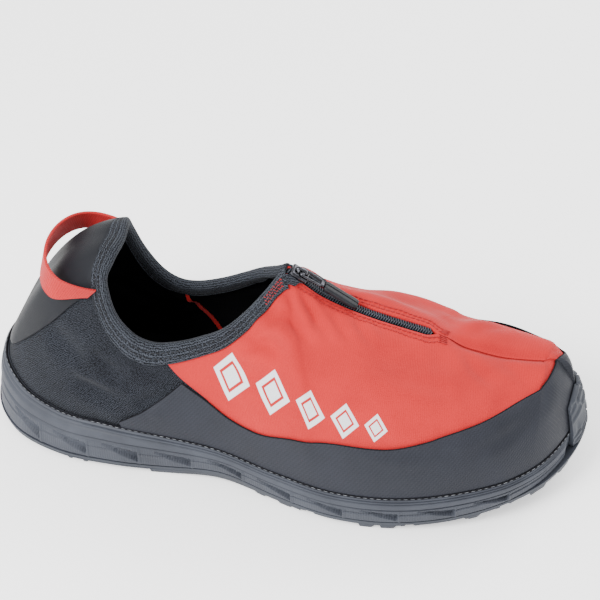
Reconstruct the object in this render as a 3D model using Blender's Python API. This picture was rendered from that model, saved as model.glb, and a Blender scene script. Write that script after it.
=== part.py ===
"""Winter overshoe, right foot: a soft zipped upper on a cupped rubber sole.

Frame: +X towards the toe, +Y towards the inner (medial) side, +Z up, with the
origin under the middle of the outsole. All sizes are in metres.
"""

import math

import bmesh
import bpy
import numpy as np

# Overall sizes. The heights in the tables are shares of COLLAR_HEIGHT, and the back
# of the collar ends at 0.925 of it.
LENGTH = 0.318
BALL_WIDTH = 0.117
HEEL_WIDTH = 0.0885
COLLAR_HEIGHT = 0.133
COLLAR_WIDTH = 0.057

# Sole
HEEL_SOLE_HEIGHT = 0.031
BALL_SOLE_HEIGHT = 0.0222
HEEL_FOOTBED = 0.0215
BALL_FOOTBED = 0.0125
TREAD_PLATE = 0.0028
LUG_DEPTH = 0.0032
TOE_SPRING = 0.0152
HEEL_BEVEL = 0.0048
ARCH_LIFT = 0.0029
HEEL_INSET = 0.009
SIDE_INSET = 0.0024
TOE_INSET = 0.0066
WAIST_FLARE = 0.0105
RIM_WIDTH = 0.0019
SIDE_RELIEF = 0.0013
NOTCH_PITCH = 0.0285
NOTCH_DEPTH = 0.0016
NOTCH_MARGIN = 0.10
LUG_LENGTH = 0.0088
LUG_WIDTH = 0.0108
LUG_PITCH = 0.0143
LONG_GROOVE = 0.0018
STRIPE_WIDTH = 0.0032
BUMPER_THICKNESS = 0.0034
BUMPER_HALF_WIDTH = 0.021
BUMPER_HEIGHT = 0.0505
BUMPER_RIB = 0.0009

# Upper and what is sewn on it
UPPER_WALL = 0.0025
RAND_WALL = 0.0009
COUNTER_WALL = 0.0012
BINDING_WIDTH = 0.0085
BINDING_WALL = 0.0011
INSOLE_THICKNESS = 0.003
LOOP_WIDTH = 0.0135
LOOP_WALL = 0.0016
LOOP_REACH = 0.0295
LOOP_PITCH = math.radians(18)
LOOP_BULGE = 0.30
LOOP_FOOT = 0.085

# Zip
SLOT_HALF = 0.003
COIL_PROUD = 0.0007
TAPE_HALF = 0.011
TAPE_WALL = 0.0008
SLIDER_LENGTH = 0.0098
SLIDER_WIDTH = 0.0082
SLIDER_PLATE = 0.0016
SLIDER_SETBACK = 0.0065
PIN_DIAMETER = 0.0014
LINK_LENGTH = 0.0135
LINK_WIDTH = 0.0066
LINK_HOLE = 0.0032
BRIDGE_WIDTH = 0.0021
GRIP_LENGTH = 0.02
GRIP_WIDTH = 0.0062
GRIP_THICKNESS = 0.0028

# Gap left between two pieces that meet
CLEAR = 0.0003
RAND_GAP = 0.0006

# Outline of the sole seen from above, heel to toe. Widths are shares of the
# local width, heights are shares of the local height of the sole's side.
PLAN_COLUMNS = ("along", "lateral", "medial", "side_height")
PLAN = (
    (0.000, 0.102, 0.102, 1.32),
    (0.020, -0.179, 0.366, 1.26),
    (0.060, -0.325, 0.488, 1.11),
    (0.140, -0.450, 0.545, 1.00),
    (0.240, -0.484, 0.494, 0.985),
    (0.340, -0.463, 0.403, 0.90),
    (0.420, -0.430, 0.333, 0.88),
    (0.520, -0.453, 0.356, 0.945),
    (0.620, -0.497, 0.435, 1.00),
    (0.720, -0.489, 0.491, 1.02),
    (0.820, -0.421, 0.499, 1.13),
    (0.900, -0.312, 0.479, 1.22),
    (0.955, -0.179, 0.397, 1.26),
    (0.985, -0.030, 0.307, 1.30),
    (1.000, 0.166, 0.166, 1.32),
)

# Ribs of the upper, heel to toe. Each runs from its foot on the top of the
# sole to a point on the collar, the zip or the seam over the toes.
#   foot, top: shares of the length; half: share of the collar's half width;
#   swing: centre line, share of the ball width; rise: share of COLLAR_HEIGHT;
#   lean, swell: first handle of the rib's curve, across and up;
#   crown, drop: second handle, back from the top and down from it.
RIB_COLUMNS = ("foot", "top", "half", "swing", "rise", "lean", "swell", "crown", "drop")
RIBS = (
    (0.000, 0.2450, 0.00, 0.004, 0.925, 0.18, 0.31, 0.42, 0.00),
    (0.022, 0.2410, 0.46, 0.004, 0.920, 0.10, 0.36, 0.44, 0.07),
    (0.060, 0.2350, 0.76, 0.008, 0.876, 0.08, 0.36, 0.42, 0.12),
    (0.105, 0.2370, 0.90, 0.017, 0.800, 0.01, 0.35, 0.42, 0.19),
    (0.155, 0.2500, 0.98, 0.016, 0.700, -0.07, 0.34, 0.41, 0.27),
    (0.210, 0.2750, 0.98, 0.015, 0.610, -0.15, 0.34, 0.44, 0.33),
    (0.270, 0.3050, 0.94, 0.015, 0.566, -0.20, 0.37, 0.49, 0.38),
    (0.340, 0.3450, 0.88, 0.014, 0.572, -0.18, 0.41, 0.50, 0.35),
    (0.400, 0.3870, 0.84, 0.012, 0.612, -0.12, 0.47, 0.51, 0.30),
    (0.460, 0.4280, 0.79, 0.010, 0.668, -0.07, 0.53, 0.52, 0.26),
    (0.505, 0.4600, 0.62, 0.008, 0.735, -0.05, 0.56, 0.53, 0.22),
    (0.545, 0.4860, 0.36, 0.006, 0.798, -0.03, 0.58, 0.53, 0.19),
    (0.580, 0.5060, 0.14, 0.006, 0.853, -0.03, 0.59, 0.50, 0.21),
    (0.600, 0.5140, 0.10, 0.006, 0.868, -0.01, 0.56, 0.46, 0.26),
    (0.660, 0.5750, 0.10, 0.012, 0.768, -0.02, 0.61, 0.49, 0.18),
    (0.720, 0.6450, 0.10, 0.020, 0.696, -0.01, 0.64, 0.55, 0.10),
    (0.790, 0.7530, 0.10, 0.033, 0.622, 0.02, 0.60, 0.56, 0.09),
    (0.850, 0.8080, 0.10, 0.054, 0.563, 0.03, 0.62, 0.60, 0.05),
    (0.895, 0.8650, 0.10, 0.076, 0.524, 0.04, 0.60, 0.56, 0.03),
    (0.930, 0.9250, 0.10, 0.094, 0.520, 0.10, 0.54, 0.49, 0.08),
    (1.000, 0.9250, 0.10, 0.094, 0.520, 0.13, 0.49, 0.41, 0.09),
)
ZIP_TOP_FOOT = 0.600
ZIP_CLOSING_FOOT = 0.778
ZIP_END_FOOT = 0.790
TIP_FOOT = 0.930
# Ribs a side in each stretch: collar, zip, the zip's closed end, seam over the toes, toe front
STRETCHES = (16, 6, 1, 5, 6)
RIB_ROWS = 8

# Side wall of the sole from the tread plate up to the rim: the share of the
# side's height, and how far it stands out in shares of SIDE_RELIEF.
FLARE_TOP = 0.62
SIDE_COLUMNS = ("up", "out")
SIDE_WALL = (
    (0.00, -0.5),
    (0.30, 0.4),
    (0.34, -0.6),
    (0.39, 0.4),
    (0.53, 0.5),
    (0.57, -0.8),
    (0.64, 1.0),
    (0.86, 0.8),
    (0.91, -0.2),
    (1.00, 0.2),
)

# Slanted notches in the side of the sole, at their shallow and their deep end: place in
# the notch's own stretch, share of the side's height below it, how tall and how deep it is
NOTCH_COLUMNS = ("place", "share", "tall", "deep")
NOTCH_ENDS = (
    (0.12, 0.46, 0.02, 0.2),
    (0.80, 0.10, 0.20, 1.0),
)

# The puller's grip from the link to its end: shares of its length, width and thickness
GRIP_COLUMNS = ("along", "wide", "thick")
GRIP_PROFILE = (
    (0.00, 0.70, 0.75),
    (0.08, 0.95, 1.00),
    (0.50, 0.88, 0.92),
    (0.92, 1.00, 1.00),
    (1.00, 0.80, 0.70),
)

# Top edge of the rand: place along the sole and height, a share of COLLAR_HEIGHT
RAND_COLUMNS = ("foot", "height")
RAND_TOP = (
    (0.262, 0.262),
    (0.300, 0.322),
    (0.364, 0.452),
    (0.405, 0.409),
    (0.444, 0.358),
    (0.484, 0.338),
    (0.561, 0.369),
    (0.629, 0.392),
    (0.720, 0.392),
    (0.790, 0.418),
    (0.850, 0.440),
    (0.905, 0.458),
    (0.947, 0.478),
    (1.000, 0.500),
)

# Front edge of the heel counter seen from the side: place along the sole, share of COLLAR_HEIGHT
COUNTER_COLUMNS = ("along", "height")
COUNTER_EDGE = ((0.020, 0.310), (0.052, 0.375), (0.159, 0.655), (0.225, 0.840))
COUNTER_FOOT = 0.125

# Columns of arrow lugs under the forefoot: place of the column, share of the width
# where its middle lies, and how many lugs it has
LUG_COLUMNS = ("along", "middle", "count")
LUG_FIELD = (
    (0.599, 0.49, 7),
    (0.638, 0.49, 7),
    (0.677, 0.48, 8),
    (0.712, 0.48, 8),
    (0.762, 0.47, 7),
    (0.803, 0.47, 7),
    (0.842, 0.47, 7),
    (0.902, 0.50, 6),
    (0.940, 0.51, 6),
    (0.972, 0.50, 4),
)
# Single lugs under the heel: along the sole, and across it from lateral 0 to medial 1
HEEL_LUG_COLUMNS = ("along", "across")
HEEL_LUGS = (
    (0.052, 0.787), (0.080, 0.900), (0.081, 0.705), (0.109, 0.835), (0.140, 0.795),
    (0.151, 0.930), (0.149, 0.388), (0.244, 0.924), (0.184, 0.749), (0.218, 0.740),
    (0.254, 0.717), (0.169, 0.583), (0.201, 0.570), (0.235, 0.560), (0.224, 0.090),
    (0.263, 0.096),
)
# Slanted stripes across the back of the heel, from one end to the other
STRIPE_COLUMNS = ("along_from", "across_from", "along_to", "across_to")
STRIPES = (
    (0.020, 0.80, 0.046, 0.30),
    (0.037, 0.68, 0.077, 0.17),
    (0.054, 0.60, 0.100, 0.15),
    (0.073, 0.57, 0.130, 0.08),
    (0.094, 0.52, 0.163, 0.04),
    (0.117, 0.45, 0.190, 0.04),
)
# Plain raised pad under the heel: its two ends along the sole and its two sides across it
PAD_COLUMNS = ("along_from", "along_to", "across_from", "across_to")
PAD = (0.211, 0.297, 0.262, 0.385)
# Long strips under the waist: where each begins and ends, and its two sides
STRIP_COLUMNS = ("along_from", "along_to", "across_from", "across_to")
STRIPS = (
    (0.312, 0.572, 0.03, 0.23),
    (0.316, 0.570, 0.23, 0.42),
    (0.300, 0.568, 0.42, 0.61),
    (0.282, 0.566, 0.61, 0.79),
    (0.300, 0.562, 0.79, 0.97),
)

STRIP_STEPS = 7

LATERAL, MEDIAL = -1, 1


def columns(table, names):
    """The table's columns as arrays, by name."""
    rows = np.array(table, float).reshape(-1, len(names))
    return dict(zip(names, rows.T))


def ease(share):
    share = np.clip(share, 0.0, 1.0)
    return share * share * (3 - 2 * share)


def hump(along, middle, reach):
    return ease(1 - np.abs(np.asarray(along) - middle) / reach)


def spline(knots, values, at):
    """A smooth curve through values (rows) at the knots, read at each place in at."""
    knots, values, at = np.asarray(knots), np.asarray(values), np.atleast_1d(at)
    step = np.diff(knots)
    slope = np.diff(values, axis=0) / step[:, None]
    tangent = np.empty_like(values)
    weight = step[1:, None] / (step[1:] + step[:-1])[:, None]
    tangent[1:-1] = slope[:-1] * weight + slope[1:] * (1 - weight)
    tangent[0], tangent[-1] = slope[0], slope[-1]
    i = np.clip(np.searchsorted(knots, at, side="right") - 1, 0, len(step) - 1)
    h = step[i][:, None]
    u = ((at - knots[i]) / step[i])[:, None]
    return (
        values[i] * (2 * u**3 - 3 * u**2 + 1)
        + values[i + 1] * (3 * u**2 - 2 * u**3)
        + tangent[i] * h * (u**3 - 2 * u**2 + u)
        + tangent[i + 1] * h * (u**3 - u**2)
    )


def local(along, heel, ball):
    """A size that is one value at the heel and another at the ball of the foot."""
    return heel + (ball - heel) * ease((np.asarray(along) - 0.30) / 0.30)


def ground(along):
    """Height of the tread's lowest surface: level under heel and ball, lifted elsewhere."""
    along = np.asarray(along, float)
    return (
        HEEL_BEVEL * np.clip(1 - along / 0.06, 0, 1) ** 1.5
        + ARCH_LIFT * hump(along, 0.43, 0.13)
        + TOE_SPRING * np.clip((along - 0.68) / 0.32, 0, 1) ** 1.8
    )


def parting(along):
    """Height of the line between tread plate and midsole."""
    return ground(along) + LUG_DEPTH + TREAD_PLATE


def footbed(along):
    """Height of the floor inside the cup."""
    return ground(along) + local(along, HEEL_FOOTBED, BALL_FOOTBED)


class Outline:
    """The sole's closed outline, a point and its outward direction for each rib of the shoe."""

    def __init__(self):
        plan = columns(PLAN, PLAN_COLUMNS)
        along = plan["along"]
        width = local(along, HEEL_WIDTH, BALL_WIDTH)
        x = LENGTH * (along - 0.5)
        height = plan["side_height"] * local(along, HEEL_SOLE_HEIGHT, BALL_SOLE_HEIGHT)
        sides = [np.stack([x, width * plan[s], height, along], 1) for s in ("lateral", "medial")]
        chord = [np.hypot(*np.diff(side[:, :2], axis=0).T) for side in sides]
        knots = np.concatenate([[0], np.cumsum(chord[0] + chord[1])])
        knots /= knots[-1]
        loop = np.concatenate([sides[0], sides[1][-2::-1]])
        loop_knots = np.concatenate([knots, 2 - knots[-2::-1]])
        self.values = np.concatenate([loop[-3:-1], loop, loop[1:3]])
        self.knots = np.concatenate([loop_knots[-3:-1] - 2, loop_knots, loop_knots[1:3] + 2])
        self.plan_knots, self.plan_along = knots, along

    def place(self, along):
        """The knot value of a place along the sole."""
        fine = np.linspace(0, 1, 400)
        return np.interp(along, spline(self.plan_knots, self.plan_along[:, None], fine)[:, 0], fine)

    def read(self, knot):
        return spline(self.knots, self.values, knot)

    def width_ends(self, along):
        """Lateral and medial edge of the tread at a place along the sole."""
        knot = self.place(along)
        return self.read(knot)[:, 1], self.read(2 - knot)[:, 1]


OUTLINE = Outline()


def rib_knots():
    """Knot values of the ribs of one side, heel to toe."""
    ends = [0.0, *OUTLINE.place([ZIP_TOP_FOOT, ZIP_CLOSING_FOOT, ZIP_END_FOOT, TIP_FOOT]), 1.0]
    parts = []
    for count, start, stop in zip(STRETCHES, ends, ends[1:]):
        parts.append(np.linspace(start, stop, count, endpoint=False))
    return np.array([*np.concatenate(parts), 1.0])


KNOTS = rib_knots()
LAST = len(KNOTS) - 1
AROUND = 2 * LAST
ZIP_TOP, _, ZIP_END, TIP = np.cumsum(STRETCHES)[:4]
RING = np.concatenate([KNOTS, 2 - KNOTS[-2:0:-1]])
SIDE_OF = np.where(np.arange(AROUND) <= LAST, LATERAL, MEDIAL)
RIB_OF = np.minimum(np.arange(AROUND), AROUND - np.arange(AROUND))
STEP_OFF = 1e-3


def ring_base():
    """Outline points, outward directions, side heights and shares of the length, a row a rib."""
    here = OUTLINE.read(RING)
    tangent = OUTLINE.read(RING + STEP_OFF)[:, :2] - OUTLINE.read(RING - STEP_OFF)[:, :2]
    tangent /= np.linalg.norm(tangent, axis=1)[:, None]
    outward = np.stack([tangent[:, 1], -tangent[:, 0]], 1)
    return here[:, :2], outward, here[:, 2], here[:, 3]


EDGE, OUTWARD, SIDE_TOP, ALONG = ring_base()


def inset():
    """How far the upper stands inside the sole's outline, all round, before the waist's flare."""
    heel = (HEEL_INSET - SIDE_INSET) * ease(1 - ALONG / 0.34)
    toe = (TOE_INSET - SIDE_INSET) * ease((ALONG - 0.88) / 0.12)
    return SIDE_INSET + heel + toe


INSET = inset()
FLARE = WAIST_FLARE * hump(ALONG, 0.42, 0.25) * (SIDE_OF == MEDIAL)
FEATHER = EDGE + OUTWARD * (FLARE - INSET)[:, None]


def around(plan, heights):
    """A ring of points from plan positions and one height for each, or for all."""
    return np.column_stack([plan, np.broadcast_to(heights, len(plan))])


def rib_tops():
    """Top point of each rib and its four handle shares, both sides of a rib pair alike."""
    table = columns(RIBS, RIB_COLUMNS)
    rows = np.stack([table[name] for name in RIB_COLUMNS[1:]], 1)
    knots = OUTLINE.place(table["foot"])
    knots[0], knots[-1] = 0.0, 1.0
    values = spline(knots, rows, KNOTS)[RIB_OF]
    top, half, swing, rise = values[:, :4].T
    half = half * COLLAR_WIDTH / 2
    half = np.where(RIB_OF >= ZIP_TOP, SLOT_HALF, np.maximum(half, SLOT_HALF * 0.98))
    half = np.where((RIB_OF == 0) | (RIB_OF >= ZIP_END), 0.0, half)
    x = LENGTH * (top - 0.5)
    y = BALL_WIDTH * swing + SIDE_OF * half
    return np.stack([x, y, COLLAR_HEIGHT * rise], 1), values[:, 4:].T


def rib_points():
    """The upper's outer surface: AROUND ribs, each with its tucked foot and RIB_ROWS + 1 points."""
    tops, (lean, swell, crown, drop) = rib_tops()
    feet = around(FEATHER, SIDE_TOP)
    tucked = around(FEATHER - OUTWARD * CLEAR, footbed(ALONG) + CLEAR)
    reach = tops - feet
    first = feet + reach * np.stack([lean, lean, swell], 1)
    second = tops - reach * np.stack([crown, crown, drop], 1)
    share = np.linspace(0, 1, RIB_ROWS + 1)[None, :, None]
    feet, first, second, top_points = (a[:, None, :] for a in (feet, first, second, tops))
    curve = (
        feet * (1 - share) ** 3
        + 3 * first * share * (1 - share) ** 2
        + 3 * second * share**2 * (1 - share)
        + top_points * share**3
    )
    tip = curve[TIP, -1].copy()
    curve[RIB_OF >= TIP, -1] = tip
    return np.concatenate([tucked[:, None, :], curve], axis=1)


def upper_faces(ids):
    """Triangles of the surface whose point numbers are ids[rib][row], without collapsed ones."""
    found = []
    for i in range(AROUND):
        j = (i + 1) % AROUND
        for row in range(ids.shape[1] - 1):
            a, b, c, d = ids[i, row], ids[j, row], ids[j, row + 1], ids[i, row + 1]
            found += [t for t in ((a, b, c), (a, c, d)) if len(set(t)) == 3]
    return found


def upper_ids():
    """Point numbers of the grid, shared along the toe seam and at the tip."""
    rows = RIB_ROWS + 2
    ids = np.arange(AROUND * rows).reshape(AROUND, rows)
    for i in range(AROUND):
        if RIB_OF[i] >= ZIP_END:
            ids[i, -1] = ids[min(RIB_OF[i], TIP), -1]
    return ids


def surface_normals(points, faces):
    corners = points[np.array(faces)]
    face_normal = np.cross(corners[:, 1] - corners[:, 0], corners[:, 2] - corners[:, 0])
    normals = np.zeros_like(points)
    for k in range(3):
        np.add.at(normals, np.array(faces)[:, k], face_normal)
    length = np.linalg.norm(normals, axis=1)[:, None]
    return normals / np.where(length > 0, length, 1)


GRID = rib_points()
IDS = upper_ids()
UPPER_FACES = upper_faces(IDS)
NORMALS = surface_normals(GRID.reshape(-1, 3), UPPER_FACES)[IDS]


def on_upper(rib, share, lift):
    """A point over the upper's outer face: rib number, share of the way up it, and height over it."""
    place = 1 + np.clip(share, 0, 1) * RIB_ROWS
    low = min(int(place), RIB_ROWS)
    part = place - low
    point = GRID[rib, low] * (1 - part) + GRID[rib, low + 1] * part
    normal = NORMALS[rib, low] * (1 - part) + NORMALS[rib, low + 1] * part
    return point + normal / np.linalg.norm(normal) * lift


def rib_length(rib):
    return np.linalg.norm(np.diff(GRID[rib, 1:], axis=0), axis=1).sum()


def share_at_height(rib, height):
    """Share of the way up a rib where it reaches a height."""
    heights = np.maximum.accumulate(GRID[rib, 1:, 2] + np.arange(RIB_ROWS + 1) * 1e-9)
    return np.interp(height, heights, np.linspace(0, 1, RIB_ROWS + 1))


# Mesh helpers


def finish(name, colour, roughness, metallic=0.0):
    material = bpy.data.materials.new(name)
    material.use_nodes = True
    shader = material.node_tree.nodes["Principled BSDF"]
    shader.inputs["Base Color"].default_value = (*colour, 1.0)
    shader.inputs["Roughness"].default_value = roughness
    shader.inputs["Metallic"].default_value = metallic
    material.diffuse_color = (*colour, 1.0)
    return material


def solid(name, points, faces, material, hidden=False):
    """A closed mesh object with its faces turned outwards."""
    mesh = bpy.data.meshes.new(name)
    mesh.from_pydata([tuple(map(float, p)) for p in points], [], [tuple(map(int, f)) for f in faces])
    work = bmesh.new()
    work.from_mesh(mesh)
    bmesh.ops.recalc_face_normals(work, faces=work.faces)
    if work.calc_volume(signed=True) < 0:
        bmesh.ops.reverse_faces(work, faces=work.faces)
    work.to_mesh(mesh)
    work.free()
    mesh.shade_smooth()
    mesh.set_sharp_from_angle(angle=math.radians(35))
    obj = bpy.data.objects.new(name, mesh)
    bpy.context.scene.collection.objects.link(obj)
    if hidden:
        obj.hide_render = True
        obj.display_type = "WIRE"
    else:
        mesh.materials.append(material)
    return obj


def merged(pieces):
    """One list of points and one of faces from several."""
    points, faces = [], []
    for piece_points, piece_faces in pieces:
        start = len(points)
        points.extend(piece_points)
        faces.extend([tuple(i + start for i in f) for f in piece_faces])
    return points, faces


def ring_loft(rings):
    """Walls between rings of AROUND points, closed by strips across the first and the last."""
    points = np.concatenate(rings)
    faces = []
    for r in range(len(rings) - 1):
        for i in range(AROUND):
            j = (i + 1) % AROUND
            a, b = r * AROUND + i, r * AROUND + j
            faces += [(a, b, b + AROUND), (a, b + AROUND, a + AROUND)]
    for base in (0, (len(rings) - 1) * AROUND):
        for k in range(LAST):
            corners = (k, k + 1, (AROUND - k - 1) % AROUND, (AROUND - k) % AROUND)
            strip = tuple(dict.fromkeys(base + c for c in corners))
            faces.append(strip)
    return points, faces


def slab(inner, outer):
    """A sheet with thickness between two grids of points of the same size."""
    rows, cols = inner.shape[:2]
    points = np.concatenate([inner.reshape(-1, 3), outer.reshape(-1, 3)])
    ids = np.arange(rows * cols).reshape(rows, cols)
    over = rows * cols
    faces = []
    for r in range(rows - 1):
        for c in range(cols - 1):
            a, b, d, e = ids[r, c], ids[r, c + 1], ids[r + 1, c + 1], ids[r + 1, c]
            faces += [(a, d, b), (a, e, d), (a + over, b + over, d + over), (a + over, d + over, e + over)]
    rim = [*ids[0], *ids[1:, -1], *ids[-1, -2::-1], *ids[-2:0:-1, 0]]
    for a, b in zip(rim, rim[1:] + rim[:1]):
        faces += [(a, b, b + over), (a, b + over, a + over)]
    return points, faces


def sweep(sections, looped=False):
    """A closed outline carried along a path, its ends closed or joined to each other."""
    count, size = len(sections), len(sections[0])
    points = np.concatenate(sections)
    faces = []
    for s in range(count if looped else count - 1):
        t = (s + 1) % count
        for p in range(size):
            q = (p + 1) % size
            a, b, c, d = s * size + p, s * size + q, t * size + q, t * size + p
            faces += [(a, b, c), (a, c, d)]
    if not looped:
        faces += [tuple(range(size)), tuple((count - 1) * size + p for p in range(size))]
    return points, faces


def prism(polygon, low, high):
    """An upright block over a plan polygon, from height low to high at each corner."""
    size = len(polygon)
    points = [(*p, z) for p, z in zip(polygon, low)] + [(*p, z) for p, z in zip(polygon, high)]
    faces = [tuple(range(size)), tuple(range(size, 2 * size))]
    faces += [(i, (i + 1) % size, (i + 1) % size + size, i + size) for i in range(size)]
    return points, faces


def combine(target, tool, operation):
    modifier = target.modifiers.new(operation.title(), "BOOLEAN")
    modifier.operation = operation
    modifier.solver = "EXACT"
    modifier.use_self = True
    modifier.object = tool


# Sole


def side_stand(up, inset_here, flare_here, upright=0.0):
    """How far the sole's side stands out from its outline at a share of its whole height."""
    lean = up**1.4 * (1 - upright) + upright
    return flare_here * ease(up / FLARE_TOP) - (inset_here - RIM_WIDTH) * lean


def side_ring(share, out):
    """A ring of the side wall, at a share of its height over the parting line."""
    low = parting(ALONG)
    height = low + (SIDE_TOP - low) * share
    mask = bumper_mask()
    stand = side_stand(height / SIDE_TOP, INSET, FLARE, mask) + out * SIDE_RELIEF * (1 - mask)
    return around(EDGE + OUTWARD * stand[:, None], height)


def bumper_mask():
    """1 on the ribs that the toe bumper covers, easing to 0 beside it."""
    across = np.abs(EDGE[:, 1] - EDGE[LAST, 1])
    return ease((BUMPER_HALF_WIDTH * 1.35 - across) / (BUMPER_HALF_WIDTH * 0.3)) * (ALONG > 0.85)


def tread_point(along, across):
    lateral, medial = OUTLINE.width_ends(along)
    return np.array([LENGTH * (along - 0.5), float(lateral[0] + (medial[0] - lateral[0]) * across)])


def clipped(polygon, margin):
    """A convex plan polygon cut back to lie inside the tread's outline by a margin."""
    middle = polygon.mean(axis=0)
    reach = np.linalg.norm(polygon - middle, axis=1).max() + margin
    for i in np.argsort(np.linalg.norm(EDGE - middle, axis=1))[:6]:
        normal = OUTWARD[i]
        limit = EDGE[i] @ normal - margin
        if np.linalg.norm(EDGE[i] - middle) > 3 * reach:
            continue
        kept = []
        for a, b in zip(polygon, np.roll(polygon, -1, axis=0)):
            da, db = a @ normal - limit, b @ normal - limit
            if da <= 0:
                kept.append(a)
            if da * db < 0:
                kept.append(a + (b - a) * da / (da - db))
        polygon = np.array(kept)
        if len(polygon) < 3:
            return None
    return polygon


def area_of(polygon):
    x, y = polygon.T
    return abs(x @ np.roll(y, -1) - y @ np.roll(x, -1)) / 2


def arrow(middle, length, width):
    """An arrow-shaped lug that points to the toe, with a notch in its tail."""
    half = width / 2
    shape = ((-0.5, -1), (0.15, -1), (0.5, 0), (0.15, 1), (-0.5, 1))
    return np.array([middle + np.array([length * a, half * b]) for a, b in shape])


def lug_blocks():
    """Every raised block of the tread, as plan polygons."""
    found = []
    field = columns(LUG_FIELD, LUG_COLUMNS)
    for along, middle, count in zip(*(field[n] for n in LUG_COLUMNS)):
        centre = tread_point(along, middle)
        for j in range(int(count)):
            place = centre + np.array([0, (j - (count - 1) / 2) * LUG_PITCH])
            found.append(arrow(place, LUG_LENGTH, LUG_WIDTH))
    for along, across in zip(*columns(HEEL_LUGS, HEEL_LUG_COLUMNS).values()):
        found.append(arrow(tread_point(along, across), LUG_LENGTH, LUG_WIDTH * 0.85))
    for along_from, across_from, along_to, across_to in zip(*columns(STRIPES, STRIPE_COLUMNS).values()):
        start, stop = tread_point(along_from, across_from), tread_point(along_to, across_to)
        beside = np.array([STRIPE_WIDTH / 2, 0])
        found.append(np.array([start - beside, stop - beside, stop + beside, start + beside]))
    pad = columns(PAD, PAD_COLUMNS)
    along_from, along_to, across_from, across_to = (pad[name][0] for name in PAD_COLUMNS)
    middle = tread_point((along_from + along_to) / 2, (across_from + across_to) / 2)
    reach = (tread_point(along_to, across_to) - tread_point(along_from, across_from)) / 2
    found.append(middle + np.abs(reach) * np.array([(-1, -1), (1, -1), (1, 1), (-1, 1)]))
    return [p for p in (clipped(f, SIDE_RELIEF) for f in found) if p is not None]


def strip_blocks():
    """The long strips under the waist, each a chain of cross sections."""
    found = []
    for along_from, along_to, across_from, across_to in zip(*columns(STRIPS, STRIP_COLUMNS).values()):
        sections = []
        for along in np.linspace(along_from, along_to, STRIP_STEPS):
            a, b = tread_point(along, across_from), tread_point(along, across_to)
            a[1] += LONG_GROOVE / 2
            b[1] -= LONG_GROOVE / 2
            low, high = float(ground(along)), float(ground(along) + LUG_DEPTH + TREAD_PLATE / 2)
            sections.append(np.array([(*a, low), (*b, low), (*b, high), (*a, high)]))
        found.append(sweep(sections))
    return found


def make_tread(material):
    """Tread plate with its lugs, and the bumper that climbs the toe."""
    low = around(EDGE - OUTWARD * SIDE_RELIEF * 0.6, ground(ALONG) + LUG_DEPTH)
    high = around(EDGE - OUTWARD * SIDE_RELIEF * 0.2, parting(ALONG) - CLEAR)
    plate = solid("outsole", *ring_loft([low, high]), material)
    least = LUG_LENGTH * LUG_WIDTH / 5
    blocks = []
    for polygon in lug_blocks():
        if area_of(polygon) < least:
            continue
        share = polygon[:, 0] / LENGTH + 0.5
        blocks.append(prism(polygon, ground(share), ground(share) + LUG_DEPTH + TREAD_PLATE / 2))
    blocks += strip_blocks()
    lugs = solid("outsole_lugs", *merged(blocks), None, hidden=True)
    combine(plate, lugs, "UNION")
    bumper = solid("outsole_bumper", *bumper_shape(), None, hidden=True)
    combine(plate, bumper, "UNION")
    return plate


def bumper_shape():
    """The toe bumper: a tongue from the tread plate up over the rand, with ribs across it."""
    ribs = [i for i in range(AROUND) if abs(EDGE[i, 1] - EDGE[LAST, 1]) <= BUMPER_HALF_WIDTH
            and ALONG[i] > 0.85]
    clear = RAND_GAP + RAND_WALL + 2 * CLEAR
    inner, outer = [], []
    side_steps = (0.02, 0.25, 0.5, 0.75, 0.97)
    over_steps = (0.12, 0.3, 0.5, 0.7, 0.85, 1.0)
    shares = columns(SIDE_WALL, SIDE_COLUMNS)
    for i in ribs:
        column = []
        for share in side_steps:
            ring = side_ring(share, np.interp(share, shares["up"], np.maximum(shares["out"], 0.6)))
            column.append((ring[i] + np.array([*OUTWARD[i], 0]) * CLEAR, np.array([*OUTWARD[i], 0.0])))
        across = abs(EDGE[i, 1] - EDGE[LAST, 1]) / BUMPER_HALF_WIDTH
        top = share_at_height(i, BUMPER_HEIGHT * (1 - 0.10 * across**2))
        rim = share_at_height(i, SIDE_TOP[i] + RIM_WIDTH)
        for share in over_steps:
            up = rim + (top - rim) * share
            skin = on_upper(i, up, clear)
            normal = on_upper(i, up, clear + 1.0) - skin
            column.append((skin, normal))
        points = np.array([c[0] for c in column])
        normals = np.array([c[1] for c in column])
        rows = len(column)
        thick = BUMPER_THICKNESS * np.linspace(1.0, 0.30, rows) * (1 - 0.35 * across**3)
        ribbed = thick + BUMPER_RIB * (np.arange(rows) % 2) * (1 - across**2)
        start = around(EDGE, parting(ALONG) - TREAD_PLATE / 2)[i]
        deep = start - np.array([*OUTWARD[i], 0]) * (BUMPER_THICKNESS * 0.9)
        inner.append([deep, *points])
        outer.append([start, *(points + normals * ribbed[:, None])])
    return slab(np.array(inner), np.array(outer))


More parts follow.
